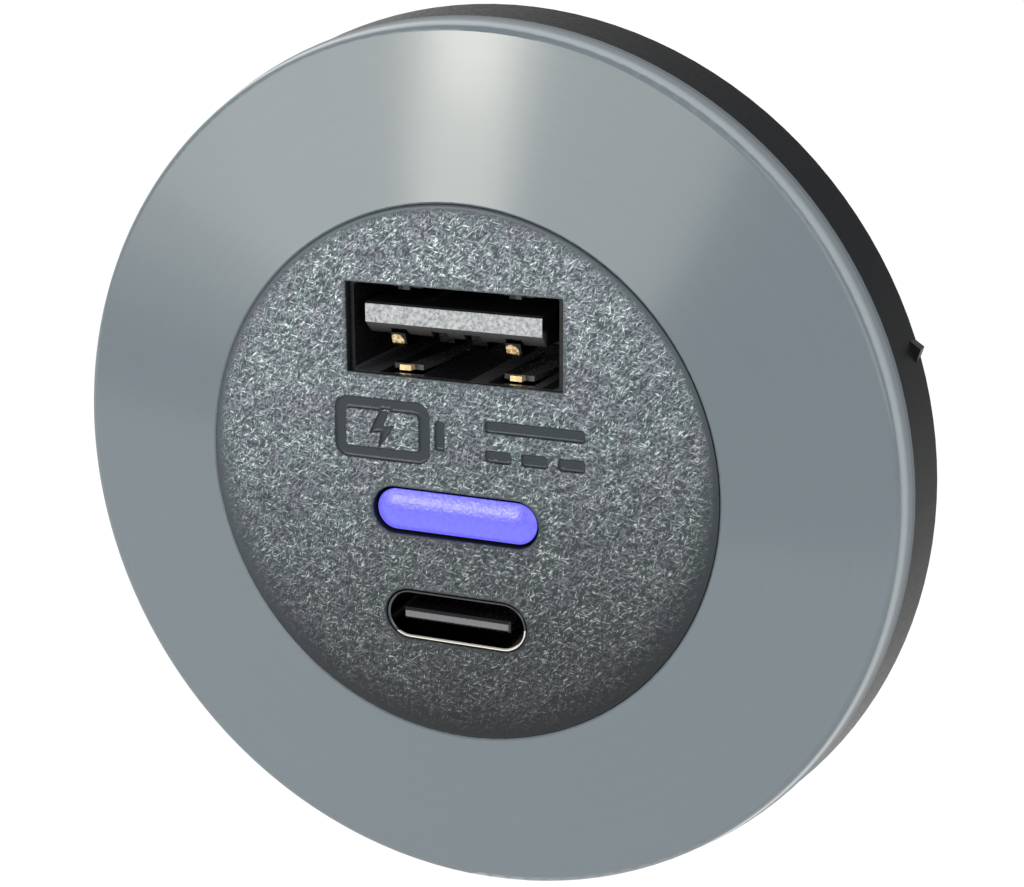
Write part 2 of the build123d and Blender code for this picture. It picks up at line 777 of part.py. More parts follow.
# Charge controller: a flat leadless chip on the rear of the port board.
with BuildPart() as charge_controller:
    with BuildSketch(front_plane(-board_front_depth - board_thickness)):
        with Locations(controller_place):
            Rectangle(controller_size, controller_size)
    extrude(amount=-controller_thickness)
    chamfer(charge_controller.edges().group_by(Axis.Y)[-1], length=controller_thickness / 6)
charge_controller.part.label = "charge_controller"
export_step(charge_controller.part, "parts/charge_controller.step")

# Board spacer: a moulded sleeve that keeps the two boards apart, open on one side for the header.
with BuildPart() as board_spacer:
    with BuildSketch(front_plane(-board_front_depth - board_thickness)):
        Circle(sleeve_outer_radius)
        Circle(sleeve_inner_radius, mode=Mode.SUBTRACT)
    extrude(amount=-board_gap)
    with BuildSketch(*[wall_plane(angle) for angle in spacer_window_angles]):
        with Locations((0, -board_front_depth - board_thickness - board_gap / 2)):
            Rectangle(board_gap, board_gap / 2)
    extrude(amount=barrel_inner_radius, mode=Mode.SUBTRACT)
board_spacer.part.label = "board_spacer"
export_step(board_spacer.part, "parts/board_spacer.step")

# Header between the boards: a plastic body on the power board and four square pins through both.
with BuildPart() as header_block:
    with BuildSketch(front_plane(-power_board_front_depth)):
        with Locations((header_place, 0)):
            Rectangle(header_pitch, header_pitch * header_pins_count)
            with GridLocations(1, header_pitch, 1, header_pins_count):
                Rectangle(header_pin_size, header_pin_size, mode=Mode.SUBTRACT)
    extrude(amount=header_body_height)
header_block.part.label = "header_block"
export_step(header_block.part, "parts/header_block.step")

header_pin_rear = -power_board_rear_depth - solder_length
header_pin_front = -board_front_depth + solder_length
with BuildPart() as header_pins:
    with BuildSketch(front_plane(header_pin_rear)):
        with Locations((header_place, 0)):
            with GridLocations(1, header_pitch, 1, header_pins_count):
                Rectangle(header_pin_size, header_pin_size)
    extrude(amount=header_pin_front - header_pin_rear)
header_pins.part.label = "header_pins"
export_step(header_pins.part, "parts/header_pins.step")

# Power board: the step-down converter, with slots for the legs of both terminals.
with BuildPart() as power_board:
    with BuildSketch(front_plane(-power_board_front_depth)):
        Circle(board_radius)
        with Locations((header_place, 0)):
            with GridLocations(1, header_pitch, 1, header_pins_count):
                Circle(header_hole_radius, mode=Mode.SUBTRACT)
        with GridLocations(2 * terminal_place, 2 * terminal_leg_place, 2, 2):
            SlotOverall(
                terminal_leg_width + 2 * terminal_slot_clearance + terminal_thickness / 2,
                terminal_thickness + 2 * terminal_slot_clearance,
                rotation=90,
                mode=Mode.SUBTRACT,
            )
    extrude(amount=-board_thickness)
power_board.part.label = "power_board"
export_step(power_board.part, "parts/power_board.step")

# Converter chip with four gull-wing leads on each side.
regulator_top = -power_board_front_depth + regulator_standoff + regulator_thickness
with BuildPart() as buck_regulator:
    with BuildSketch(front_plane(regulator_top)):
        with Locations(regulator_place):
            Rectangle(regulator_width, regulator_length)
    extrude(amount=-regulator_thickness)
    chamfer(buck_regulator.edges().group_by(Axis.Y)[0], length=regulator_thickness / 8)
    lead_level = power_board_front_depth - lead_thickness / 2
    lead_shoulder = power_board_front_depth - regulator_standoff - regulator_thickness / 2
    lead_span = (lead_count - 1) * lead_pitch
    lead_planes = [
        Plane.XY.offset(regulator_place[1] - lead_span / 2 + index * lead_pitch)
        for index in range(lead_count)
    ]
    for side in (-1, 1):
        edge_x = regulator_place[0] + side * regulator_width / 2
        with BuildSketch(*lead_planes):
            with BuildLine():
                Polyline(
                    (edge_x - side * lead_thickness, lead_shoulder),
                    (edge_x + side * lead_shoulder_reach, lead_shoulder),
                    (edge_x + side * lead_bend_reach, lead_level),
                    (edge_x + side * lead_reach, lead_level),
                )
            trace(line_width=lead_thickness)
        extrude(amount=lead_width / 2, both=True)
buck_regulator.part.label = "buck_regulator"
export_step(buck_regulator.part, "parts/buck_regulator.step")

# Shielded inductor: a square ferrite block with broken corners and a round core face.
with BuildPart() as power_inductor:
    with BuildSketch(front_plane(-power_board_front_depth)):
        with Locations(inductor_place):
            RectangleRounded(inductor_size, inductor_size, inductor_corner)
    extrude(amount=inductor_thickness)
    with BuildSketch(front_plane(-power_board_front_depth + inductor_thickness)):
        with Locations(inductor_place):
            Circle(inductor_core_radius + inductor_core_groove)
            Circle(inductor_core_radius, mode=Mode.SUBTRACT)
    extrude(amount=-inductor_core_groove, mode=Mode.SUBTRACT)
power_inductor.part.label = "power_inductor"
export_step(power_inductor.part, "parts/power_inductor.step")

# Input capacitor: an aluminium can with its rolled neck on a square plastic base.
with BuildPart() as input_capacitor:
    with BuildSketch(front_plane(-power_board_front_depth)):
        with Locations(capacitor_place):
            RectangleRounded(capacitor_base, capacitor_base, capacitor_base / 8)
    extrude(amount=capacitor_base_thickness)
    with BuildSketch(front_plane(-power_board_front_depth + capacitor_base_thickness)):
        with Locations(capacitor_place):
            Circle(capacitor_radius - capacitor_neck)
    extrude(amount=capacitor_base_thickness)
    with BuildSketch(front_plane(-power_board_front_depth + 2 * capacitor_base_thickness)):
        with Locations(capacitor_place):
            Circle(capacitor_radius)
    extrude(amount=capacitor_length - 2 * capacitor_base_thickness)
    chamfer(input_capacitor.edges().group_by(Axis.Y)[0], length=capacitor_base_thickness / 2)
input_capacitor.part.label = "input_capacitor"
export_step(input_capacitor.part, "parts/input_capacitor.step")

# Three ceramic output capacitors in a row.
with BuildPart() as output_capacitors:
    with BuildSketch(front_plane(-power_board_front_depth)):
        with Locations(chip_place):
            with GridLocations(1, chip_pitch, 1, chip_count):
                Rectangle(chip_length, chip_width)
    extrude(amount=chip_width)
output_capacitors.part.label = "output_capacitors"
export_step(output_capacitors.part, "parts/output_capacitors.step")

# Fuse and surge diode on the rear of the power board.
with BuildPart() as input_fuse:
    with BuildSketch(front_plane(-power_board_rear_depth)):
        with Locations((0, fuse_place)):
            Rectangle(fuse_length, fuse_width)
    extrude(amount=-fuse_thickness)
    with BuildSketch(front_plane(-power_board_rear_depth)):
        with Locations((0, fuse_place)):
            Rectangle(fuse_body_length, fuse_width)
            Rectangle(fuse_body_length, fuse_width - 2 * fuse_waist, mode=Mode.SUBTRACT)
    extrude(amount=-fuse_thickness, mode=Mode.SUBTRACT)
input_fuse.part.label = "input_fuse"
export_step(input_fuse.part, "parts/input_fuse.step")

with BuildPart() as surge_diode:
    with BuildSketch(front_plane(-power_board_rear_depth)):
        with Locations((0, diode_place)):
            Rectangle(diode_length, diode_width)
    extrude(amount=-diode_thickness)
    chamfer(surge_diode.edges().group_by(Axis.Y)[-1], length=diode_thickness / 6)
surge_diode.part.label = "surge_diode"
export_step(surge_diode.part, "parts/surge_diode.step")

# Blade terminals: two legs through the power board, shoulders on its rear and a 6.3 mm blade with
# bevelled end that leaves through the rear cap.
cap_rear_depth = barrel_depth + cap_thickness
blade_end = cap_rear_depth + terminal_length
for pole, place in (("positive", terminal_place), ("negative", -terminal_place)):
    half_blade = terminal_width / 2
    half_shoulder = terminal_shoulder_width / 2
    with BuildPart() as terminal:
        with BuildSketch(Plane.YZ.offset(place)):
            with BuildLine():
                Polyline(
                    (power_board_rear_depth, -half_shoulder),
                    (power_board_rear_depth + terminal_shoulder_length, -half_shoulder),
                    (power_board_rear_depth + terminal_shoulder_length, -half_blade),
                    (blade_end - terminal_leg_width, -half_blade),
                    (blade_end, -half_blade + terminal_leg_width / 2),
                    (blade_end, half_blade - terminal_leg_width / 2),
                    (blade_end - terminal_leg_width, half_blade),
                    (power_board_rear_depth + terminal_shoulder_length, half_blade),
                    (power_board_rear_depth + terminal_shoulder_length, half_shoulder),
                    (power_board_rear_depth, half_shoulder),
                    close=True,
                )
            make_face()
            with Locations((power_board_rear_depth - board_thickness / 2, 0)):
                with GridLocations(1, 2 * terminal_leg_place, 1, 2):
                    Rectangle(board_thickness, terminal_leg_width)
            with Locations((blade_end - terminal_length / 2, 0)):
                Circle(terminal_thickness, mode=Mode.SUBTRACT)
        extrude(amount=terminal_thickness / 2, both=True)
    terminal.part.label = f"terminal_{pole}"
    export_step(terminal.part, f"parts/terminal_{pole}.step")

# Rear cap: a disc with a spigot that holds the power board against the spacer. Four bumps on the
# spigot snap into windows in the barrel's wall.
cap_radius = barrel_radius - cap_margin
with BuildPart() as rear_cap:
    with BuildSketch(front_plane(-barrel_depth)):
        Circle(cap_radius)
    extrude(amount=-cap_thickness)
    chamfer(rear_cap.edges().group_by(Axis.Y)[-1], length=cap_thickness / 4)
    with BuildSketch(front_plane(-barrel_depth)):
        Circle(sleeve_outer_radius)
        Circle(sleeve_inner_radius, mode=Mode.SUBTRACT)
    extrude(amount=barrel_depth - power_board_rear_depth)
    with BuildSketch(*[radial_plane(angle) for angle in snap_angles]):
        with BuildLine():
            Polyline(
                (sleeve_inner_radius, -cap_snap_depth - cap_snap_height / 2),
                (sleeve_outer_radius + cap_snap_reach, -cap_snap_depth - cap_snap_height / 2),
                (sleeve_outer_radius, -cap_snap_depth + cap_snap_height / 2),
                (sleeve_inner_radius, -cap_snap_depth + cap_snap_height / 2),
                close=True,
            )
        make_face()
    extrude(amount=cap_snap_width / 2, both=True)
    with BuildSketch(front_plane(-barrel_depth)):
        with GridLocations(2 * terminal_place, 1, 2, 1):
            Rectangle(
                terminal_thickness + 2 * terminal_slot_clearance,
                terminal_width + 2 * terminal_slot_clearance,
            )
    extrude(amount=-cap_thickness, mode=Mode.SUBTRACT)
rear_cap.part.label = "rear_cap"
export_step(rear_cap.part, "parts/rear_cap.step")
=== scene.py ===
from math import ceil, cos, radians, sin, sqrt, tan

import bmesh
import bpy
import numpy as np
from mathutils import Matrix, Vector
from mathutils.geometry import delaunay_2d_cdt


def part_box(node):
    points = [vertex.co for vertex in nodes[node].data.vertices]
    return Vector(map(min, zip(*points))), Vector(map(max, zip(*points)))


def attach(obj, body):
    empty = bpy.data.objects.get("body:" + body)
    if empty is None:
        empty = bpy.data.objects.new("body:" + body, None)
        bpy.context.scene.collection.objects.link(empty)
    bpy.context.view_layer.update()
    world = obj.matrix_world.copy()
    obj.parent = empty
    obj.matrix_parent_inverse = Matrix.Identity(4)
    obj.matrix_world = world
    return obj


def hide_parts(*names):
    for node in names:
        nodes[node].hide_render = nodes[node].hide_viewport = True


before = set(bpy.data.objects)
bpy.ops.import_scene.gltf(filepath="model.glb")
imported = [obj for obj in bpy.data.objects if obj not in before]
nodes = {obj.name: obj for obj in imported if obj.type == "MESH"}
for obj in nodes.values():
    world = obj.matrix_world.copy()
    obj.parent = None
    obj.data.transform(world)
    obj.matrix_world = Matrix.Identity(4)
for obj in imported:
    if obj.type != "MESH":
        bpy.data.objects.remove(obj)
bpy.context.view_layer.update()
mm = 0.001

# Base ring. One injection moulding in black ABS, screwed flat to the panel. Only its edge shows behind
# the trim: a matt band that mirrors next to nothing, greyer toward its lower right, with pale specks there.
greying_reach = 36 * mm
dust_patch = 0.5 * mm


def linear(hex_colour):
    """An sRGB hex colour as linear red, green and blue with full alpha."""
    channels = [int(hex_colour[place:place + 2], 16) / 255 for place in (1, 3, 5)]
    return [c / 12.92 if c <= 0.04045 else ((c + 0.055) / 1.055) ** 2.4 for c in channels] + [1.0]


def new_finish(name, **constants):
    """A material with these constants on its shader's sockets, named with underscores for spaces."""
    material = bpy.data.materials.new(name)
    material.use_nodes = True
    shader = material.node_tree.nodes["Principled BSDF"]
    for socket, value in constants.items():
        shader.inputs[socket.replace("_", " ")].default_value = value
    return material, material.node_tree, shader


def add(tree, kind, feeds=None, **settings):
    """Adds one node. Feeds are the values of its sockets, or the outputs that lead to them."""
    node = tree.nodes.new("ShaderNode" + kind)
    for name, value in settings.items():
        setattr(node, name, value)
    for socket, value in (feeds or {}).items():
        if isinstance(value, bpy.types.NodeSocket):
            tree.links.new(value, node.inputs[socket])
        else:
            node.inputs[socket].default_value = value
    return node


def give_texture(tree, shader, grain, depth, gloss):
    """Random relief of this grain and depth, with a roughness that goes from gloss[0] to gloss[1]."""
    place = add(tree, "TexCoord").outputs["Object"]
    relief = add(tree, "TexNoise", {"Vector": place, "Scale": 1 / grain, "Detail": 3.0}).outputs["Fac"]
    bump = add(tree, "Bump", {"Height": relief, "Distance": depth, "Strength": 1.0})
    tree.links.new(bump.outputs["Normal"], shader.inputs["Normal"])
    varied = add(tree, "MapRange", {"Value": relief, "From Min": 0.3, "From Max": 0.7,
                                    "To Min": gloss[0], "To Max": gloss[1]})
    tree.links.new(varied.outputs["Result"], shader.inputs["Roughness"])
    return place, relief


def dress(material, *names):
    """Gives the named parts of the frame this material."""
    for name in names:
        for slot in nodes[name].material_slots:
            slot.material = material


black_abs, tree, shader = new_finish("black moulded ABS", IOR=1.54, Specular_IOR_Level=0.02)
place, _ = give_texture(tree, shader, 0.3 * mm, 0.004 * mm, (0.25, 0.35))
axes = add(tree, "SeparateXYZ", {"Vector": place}).outputs
# The band turns greyer toward its lower right, with pale specks there.
lower_right = add(tree, "Math", {0: axes["X"], 1: axes["Z"]}, operation="SUBTRACT").outputs["Value"]
reach = add(tree, "MapRange", {"Value": lower_right, "From Max": greying_reach}).outputs["Result"]
greying = add(tree, "Math", {0: reach, 1: 3.5}, operation="POWER").outputs["Value"]
greyed = add(tree, "MixRGB", {"Fac": greying, "Color1": linear("#121417"), "Color2": linear("#5A5A5A")})
dust = add(tree, "TexNoise", {"Vector": place, "Scale": 1 / dust_patch, "Detail": 6.0, "Roughness": 0.7})
specks = add(tree, "MapRange", {"Value": dust.outputs["Fac"], "From Min": 0.6, "From Max": 0.7,
                                "To Max": 0.5}).outputs["Result"]
dusty = add(tree, "Math", {0: specks, 1: greying}, operation="MULTIPLY").outputs["Value"]
colour = add(tree, "MixRGB", {"Fac": dusty, "Color1": greyed.outputs["Color"], "Color2": linear("#5A5A58")})
tree.links.new(colour.outputs["Color"], shader.inputs["Base Color"])
dress(black_abs, "base_ring")

# Front housing. Face and barrel are one moulding in black glass-filled nylon. The mould's face is
# coarsely spark-eroded, its rim and the sunk signs are polished, and the barrel is plain. The rim's
# polish is narrow at the top and wide toward the bottom, where its darker colour is painted shade on
# the falling shoulder, and its edge flares to narrow the ring's gap.
shoulder_width = 2.4 * mm
shoulder_drop = 0.3 * mm
opening_round = 0.09 * mm
opening_fade = 0.3 * mm
rim_round = 0.05 * mm
rim_flare = 0.075 * mm
polish_inset = 0.1 * mm
polish_and_shade_widths = (2.6 * mm, 0.4 * mm)
polish_levels = (-6 * mm, 4 * mm)
point_spacing = 0.125 * mm
grain_height = 0.016 * mm
scratch_leans = (35, -50, 85)
scratch_width = 0.16 * mm
scratch_length = 0.34 * mm
coarsest_grain = 0.6 * mm
sign_depth = 0.25 * mm
sign_stroke = 0.7 * mm
sign_wall = 0.11 * mm
sign_wall_outside = 0.04 * mm

housing_low, housing_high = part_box("front_housing")
face_height = -housing_low.y
rim_radius = housing_high.x
rng = np.random.default_rng(31)


def open_rows(mesh):
    """The closed rows of vertices along the mesh's open edges, anticlockwise as seen from the front."""
    mesh.edges.index_update()
    left = {edge.index: edge for edge in mesh.edges if edge.is_boundary}
    rows = []
    while left:
        edge = left.pop(next(iter(left)))
        row, vertex = [edge.verts[0]], edge.verts[1]
        while vertex is not row[0]:
            row.append(vertex)
            edge = next(e for e in vertex.link_edges if e.index in left)
            del left[edge.index]
            vertex = edge.other_vert(vertex)
        x, z = np.array([(v.co.x, v.co.z) for v in row]).T
        turn = np.sum(x * np.roll(z, -1) - z * np.roll(x, -1))
        rows.append(row if turn > 0 else row[::-1])
    return rows


def outline_distance(points, outlines):
    """Distance of flat points to closed outlines, negative inside them."""
    nearest = np.full(len(points), np.inf)
    inside = np.zeros(len(points), bool)
    for outline in outlines:
        for start, end in zip(outline, np.roll(outline, -1, 0)):
            along, offset = end - start, points - start
            share = np.clip(offset @ along / (along @ along), 0, 1)
            nearest = np.minimum(nearest, np.hypot(*(offset - share[:, None] * along).T))
            if start[1] != end[1]:
                level = (start[1] > points[:, 1]) != (end[1] > points[:, 1])
                inside ^= level & (offset[:, 0] < offset[:, 1] * along[0] / along[1])
    return np.where(inside, -nearest, nearest)


def beside(outline, distance):
    """An anticlockwise outline, moved outward by this distance."""
    step = np.roll(outline, -1, 0) - np.roll(outline, 1, 0)
    step /= np.hypot(*step.T)[:, None]
    return outline + distance * np.column_stack((step[:, 1], -step[:, 0]))


def spaced(corners, spacing):
    """A closed outline with points at this spacing along its edges."""
    points = []
    for start, end in zip(corners, np.roll(corners, -1, 0)):
        count = max(1, ceil(np.hypot(*(end - start)) / spacing))
        points.extend(start + (end - start) * step / count for step in range(count))
    return np.array(points)


def rounded_box(centre_x, centre_z, width, height, corner):
    """An anticlockwise rectangle with round corners."""
    points = []
    for turn, (side_x, side_z) in enumerate(((1, -1), (1, 1), (-1, 1), (-1, -1))):
        for step in range(7):
            angle = radians(90 * (turn - 1) + 15 * step)
            points.append((centre_x + side_x * (width / 2 - corner) + corner * cos(angle),
                           centre_z + side_z * (height / 2 - corner) + corner * sin(angle)))
    return np.array(points)


def eroded_pattern(x, z):
    """Random heights of unit spread from short crossed scratches, as a spark-eroded mould leaves them."""
    cell, cells, falloff = 0.06 * mm, 540, 6
    along = np.fft.fftfreq(cells, cell)[:, None]
    across = np.fft.fftfreq(cells, cell)[None, :]
    spectrum = np.fft.fft2(rng.standard_normal((cells, cells)))
    heights = np.zeros((cells, cells))
    for lean in scratch_leans:
        u = along * cos(radians(lean)) + across * sin(radians(lean))
        v = across * cos(radians(lean)) - along * sin(radians(lean))
        keep = np.exp(-(u * scratch_width) ** 2 * falloff - (v * scratch_length) ** 2 * falloff)
        keep *= 1 - np.exp(-((u ** 2 + v ** 2) * coarsest_grain ** 2) * falloff)
        layer = np.fft.ifft2(spectrum * keep).real
        heights = np.maximum(heights, layer / layer.std())
        spectrum = np.roll(spectrum, (37, 91), (0, 1))
    row = (x / cell + cells / 2).astype(int) % cells
    column = (z / cell + cells / 2).astype(int) % cells
    return (heights[row, column] - heights.mean()) / heights.std()


# The signs say what the socket gives: a battery with a charge bolt, and the mark for direct current,
# which is a bar over three dashes.
sign_level = 2.45 * mm
battery_place = -4.5 * mm
battery_size = (6.0 * mm, 3.6 * mm)
hollow_size = [size - 2 * sign_stroke for size in battery_size]
terminal_place = battery_place + 3.6 * mm
terminal_size = (0.6 * mm, 1.7 * mm)
bolt_shape = ((-0.1, 1.2), (-0.8, -0.25), (-0.05, -0.14), (-0.3, -1.2), (0.8, 0.3), (0.05, 0.18),
              (0.5, 1.2))
current_place = 4.9 * mm
bar_length = 6.0 * mm
dash_length = 1.6 * mm
dash_pitch = 2.2 * mm
bar_rise = 0.85 * mm
bar_corner = 0.2 * mm
sign_shapes = [rounded_box(battery_place, sign_level, *battery_size, 0.8 * mm),
               rounded_box(battery_place, sign_level, *hollow_size, 0.25 * mm),
               rounded_box(terminal_place, sign_level, *terminal_size, 0.15 * mm),
               np.array([(battery_place + x * mm, sign_level + z * mm) for x, z in bolt_shape]),
               rounded_box(current_place, sign_level + bar_rise, bar_length, sign_stroke, bar_corner)]
for step in (-1, 0, 1):
    sign_shapes.append(rounded_box(current_place + step * dash_pitch, sign_level - bar_rise, dash_length,
                                   sign_stroke, bar_corner))
signs = [spaced(shape, point_spacing) for shape in sign_shapes]

# The frame's own housing keeps its barrel and openings. Its front is taken off and laid again, finely.
moulding = bmesh.new()
moulding.from_mesh(nodes["front_housing"].data)
textured_layer = moulding.verts.layers.float.new("textured")
sunk_layer = moulding.verts.layers.float.new("sunk")
bmesh.ops.remove_doubles(moulding, verts=moulding.verts, dist=0.0005 * mm)
front_limit = face_height - shoulder_drop - 0.01 * mm
front_faces = [face for face in moulding.faces
               if face.normal.y < -0.5 and min(-vertex.co.y for vertex in face.verts) > front_limit]
bmesh.ops.delete(moulding, geom=front_faces, context="FACES")
for edge in [edge for edge in moulding.edges if edge.is_boundary]:
    start = edge.verts[0]
    for parts_left in range(ceil(edge.calc_length() / point_spacing), 1, -1):
        _, start = bmesh.utils.edge_split(edge, start, 1 / parts_left)
rows = sorted(open_rows(moulding), key=len)
outlines = [np.array([(vertex.co.x, vertex.co.z) for vertex in row]) for row in rows]
openings = outlines[:-1]

# Rows of points follow every edge closely, at these distances in millimetres, and a shaken grid of
# triangles fills the rest.
opening_rows = (0.03, 0.07, 0.13)
rim_rows = (0.04, 0.1, 0.19)
sign_rows = (-0.07, -0.02, 0.03, 0.08)
across = np.arange(-rim_radius, rim_radius, point_spacing)
upward = np.arange(-rim_radius, rim_radius, point_spacing * sqrt(3) / 2)
grid_x, grid_z = np.meshgrid(across, upward)
grid_x[::2] += point_spacing / 2
grid = np.column_stack((grid_x.ravel(), grid_z.ravel()))
grid += rng.uniform(-0.25, 0.25, grid.shape) * point_spacing
grid = grid[np.hypot(*grid.T) < rim_radius - 0.25 * mm]
grid = grid[outline_distance(grid, openings) > 0.2 * mm]
grid = grid[np.abs(outline_distance(grid, signs)) > 0.12 * mm]
edge_rows = [beside(outline, step * mm) for outline in openings for step in opening_rows]
edge_rows += [beside(outlines[-1], -step * mm) for step in rim_rows]
edge_rows += [beside(outline, step * mm) for outline in signs for step in sign_rows]
flat = np.vstack([*outlines, *edge_rows, grid])
fixed_count = sum(len(outline) for outline in outlines)

# Each point's height follows the shoulder, the rounded edges, the sunk signs and the grain.
distance_open = outline_distance(flat, openings)
distance_sign = outline_distance(flat, signs)
radius = np.hypot(*flat.T)
shoulder_radius = (shoulder_width ** 2 + shoulder_drop ** 2) / (2 * shoulder_drop)
past_flat = np.clip(radius - (rim_radius - shoulder_width), 0, None)
height = face_height - shoulder_radius + np.sqrt(shoulder_radius ** 2 - past_flat ** 2)
for gap, edge_round in ((distance_open, opening_round), (rim_radius - radius, rim_round)):
    near = np.clip(edge_round - np.clip(gap, 0, None), 0, None)
    height -= edge_round - np.sqrt(edge_round ** 2 - near ** 2)
sunk = np.clip((sign_wall_outside - distance_sign) / sign_wall, 0, 1)
sunk = sunk * sunk * (3 - 2 * sunk)
height -= sign_depth * sunk
textured = (1 - sunk) * np.clip(distance_open / opening_fade, 0.25, 1)
# The polished band widens toward the bottom, where its darker colour is painted shade on the falling
# shoulder.
polish_and_shade_width = np.interp(flat[:, 1], polish_levels, polish_and_shade_widths)
textured *= np.clip((rim_radius - polish_inset - radius) / polish_and_shade_width, 0, 1)
pattern = eroded_pattern(*flat.T)
height += grain_height * (pattern - pattern.max()) * textured

row_edges, first = [], 0
for outline in outlines:
    count = len(outline)
    row_edges += [(first + step, first + (step + 1) % count) for step in range(count)]
    first += count
points = [Vector(point) for point in flat / mm]
_, _, triangles, origins, _, _ = delaunay_2d_cdt(points, row_edges, [], 0, 1e-6)
row_of = np.repeat(np.arange(len(outlines)), [len(outline) for outline in outlines])
vertices = [vertex for row in rows for vertex in row]
for index in range(len(flat)):
    if index < fixed_count:
        vertices[index].co.y = -height[index]
    else:
        vertices.append(moulding.verts.new((flat[index][0], -height[index], flat[index][1])))
    vertices[index][textured_layer] = textured[index]
    vertices[index][sunk_layer] = sunk[index]
for vertex in rows[-1]:
    vertex.co += Vector((vertex.co.x, 0, vertex.co.z)).normalized() * rim_flare
body_faces = set(moulding.faces)
for triangle in triangles:
    corners = [origins[corner][0] for corner in triangle]
    if max(corners) < fixed_count and len(set(row_of[corners])) == 1:
        continue
    face = moulding.faces.new([vertices[corner] for corner in corners])
    face.normal_update()
    if face.normal.y > 0:
        face.normal_flip()
    face.material_index = 1
for face in moulding.faces:
    face.smooth = True
for edge in moulding.edges:
    if all(face in body_faces for face in edge.link_faces) and len(edge.link_faces) == 2:
        edge.smooth = edge.calc_face_angle() < radians(30)
housing_mesh = bpy.data.meshes.new("front_moulding")
moulding.to_mesh(housing_mesh)
moulding.free()
front_moulding = bpy.data.objects.new("front_moulding", housing_mesh)
bpy.context.scene.collection.objects.link(front_moulding)

plain_nylon, tree, shader = new_finish("plain black nylon", Base_Color=linear("#1C1E1F"), IOR=1.53,
                                       Specular_IOR_Level=0.35)
give_texture(tree, shader, 0.2 * mm, 0.008 * mm, (0.35, 0.5))

# The finest ridges are left to the material. Each row gives a kind's lean in degrees, and its length,
# width and offset in millimetres.
ridge_kinds = ((-38, 0.4, 0.1, 0.0), (-75, 0.26, 0.09, 3.1), (10, 0.34, 0.095, 7.3))
eroded_nylon, tree, shader = new_finish("spark-eroded black nylon", IOR=1.53, Specular_IOR_Level=0.35,
                                        Roughness=0.3)
place = add(tree, "TexCoord").outputs["Object"]
ridges = None
for lean, length, width, offset in ridge_kinds:
    turned = add(tree, "Mapping", {"Vector": place, "Location": (offset * mm, 0, 0),
                                   "Rotation": (0, radians(lean), 0),
                                   "Scale": (length * mm, length * mm, width * mm)}, vector_type="TEXTURE")
    noise = add(tree, "TexNoise", {"Vector": turned.outputs["Vector"], "Scale": 1.0, "Detail": 2.0})
    noise = noise.outputs["Fac"]
    if ridges:
        noise = add(tree, "Math", {0: ridges, 1: noise}, operation="MAXIMUM").outputs["Value"]
    ridges = noise
textured_here = add(tree, "Attribute", attribute_name="textured").outputs["Fac"]
sunk_here = add(tree, "Attribute", attribute_name="sunk").outputs["Fac"]
bump = add(tree, "Bump", {"Height": ridges, "Distance": 0.12 * mm, "Strength": textured_here})
tree.links.new(bump.outputs["Normal"], shader.inputs["Normal"])

# The face is painted paler toward its upper left as painted light, from a shaded to a lit tint, in patches
# of two tints. Pits between the ridges are painted dark as shade, and paler ridges and painted highlights
# on single ridges fade toward the bottom as painted light. The polished rim is painted darker.
patch_size = 2.2 * mm
painted_light_levels = (-16 * mm, 11 * mm)
catch_levels = (-22 * mm, 12 * mm)
pit_shade = linear("#080B0E")
black = linear("#000000")
axes = add(tree, "SeparateXYZ", {"Vector": place}).outputs
# Painted light: the face goes from a shaded tint at the bottom to a lit tint at its upper left.
upward = add(tree, "Math", {0: axes["X"], 1: -0.2, 2: axes["Z"]}, operation="MULTIPLY_ADD").outputs["Value"]
painted_light = add(tree, "MapRange", {"Value": upward, "From Min": painted_light_levels[0], "From Max": painted_light_levels[1]},
              interpolation_type="SMOOTHSTEP").outputs["Result"]
caught = add(tree, "MapRange", {"Value": upward, "From Min": catch_levels[0],
                                "From Max": catch_levels[1]}).outputs["Result"]
cloud = add(tree, "TexNoise", {"Vector": place, "Scale": 1 / patch_size, "Detail": 3.0}).outputs["Fac"]
cloud = add(tree, "MapRange", {"Value": cloud, "From Min": 0.38, "From Max": 0.62}).outputs["Result"]
shade_tint = add(tree, "MixRGB", {"Fac": cloud, "Color1": linear("#131C20"), "Color2": linear("#181D26")})
pale = add(tree, "MixRGB", {"Fac": cloud, "Color1": linear("#61737A"), "Color2": linear("#646C7A")})
ground = add(tree, "MixRGB", {"Fac": painted_light, "Color1": shade_tint.outputs["Color"],
                              "Color2": pale.outputs["Color"]}).outputs["Color"]
# Pits between the ridges are painted dark as shade.
pits = add(tree, "MapRange", {"Value": ridges, "From Min": 0.46, "From Max": 0.6,
                              "To Min": 0.75, "To Max": 0.0}).outputs["Result"]
dark = add(tree, "MixRGB", {"Fac": pits, "Color1": ground, "Color2": pit_shade}).outputs["Color"]
# Paler ridges and painted highlights on single ridges, both fading toward the bottom as painted light.
soft = add(tree, "MapRange", {"Value": ridges, "From Min": 0.56, "From Max": 0.72,
                              "To Max": 0.34}).outputs["Result"]
least = add(tree, "MapRange", {"Value": cloud, "To Min": 0.645, "To Max": 0.68}).outputs["Result"]
above = add(tree, "Math", {0: ridges, 1: least}, operation="SUBTRACT").outputs["Value"]
glint = add(tree, "MapRange", {"Value": above, "From Max": 0.06}).outputs["Result"]
lightened = add(tree, "Math", {0: soft, 1: glint}, operation="MAXIMUM").outputs["Value"]
lightened = add(tree, "Math", {0: lightened, 1: caught}, operation="MULTIPLY").outputs["Value"]
raised = add(tree, "MixRGB", {"Fac": lightened, "Color1": dark, "Color2": linear("#F2FAFF")}).outputs["Color"]
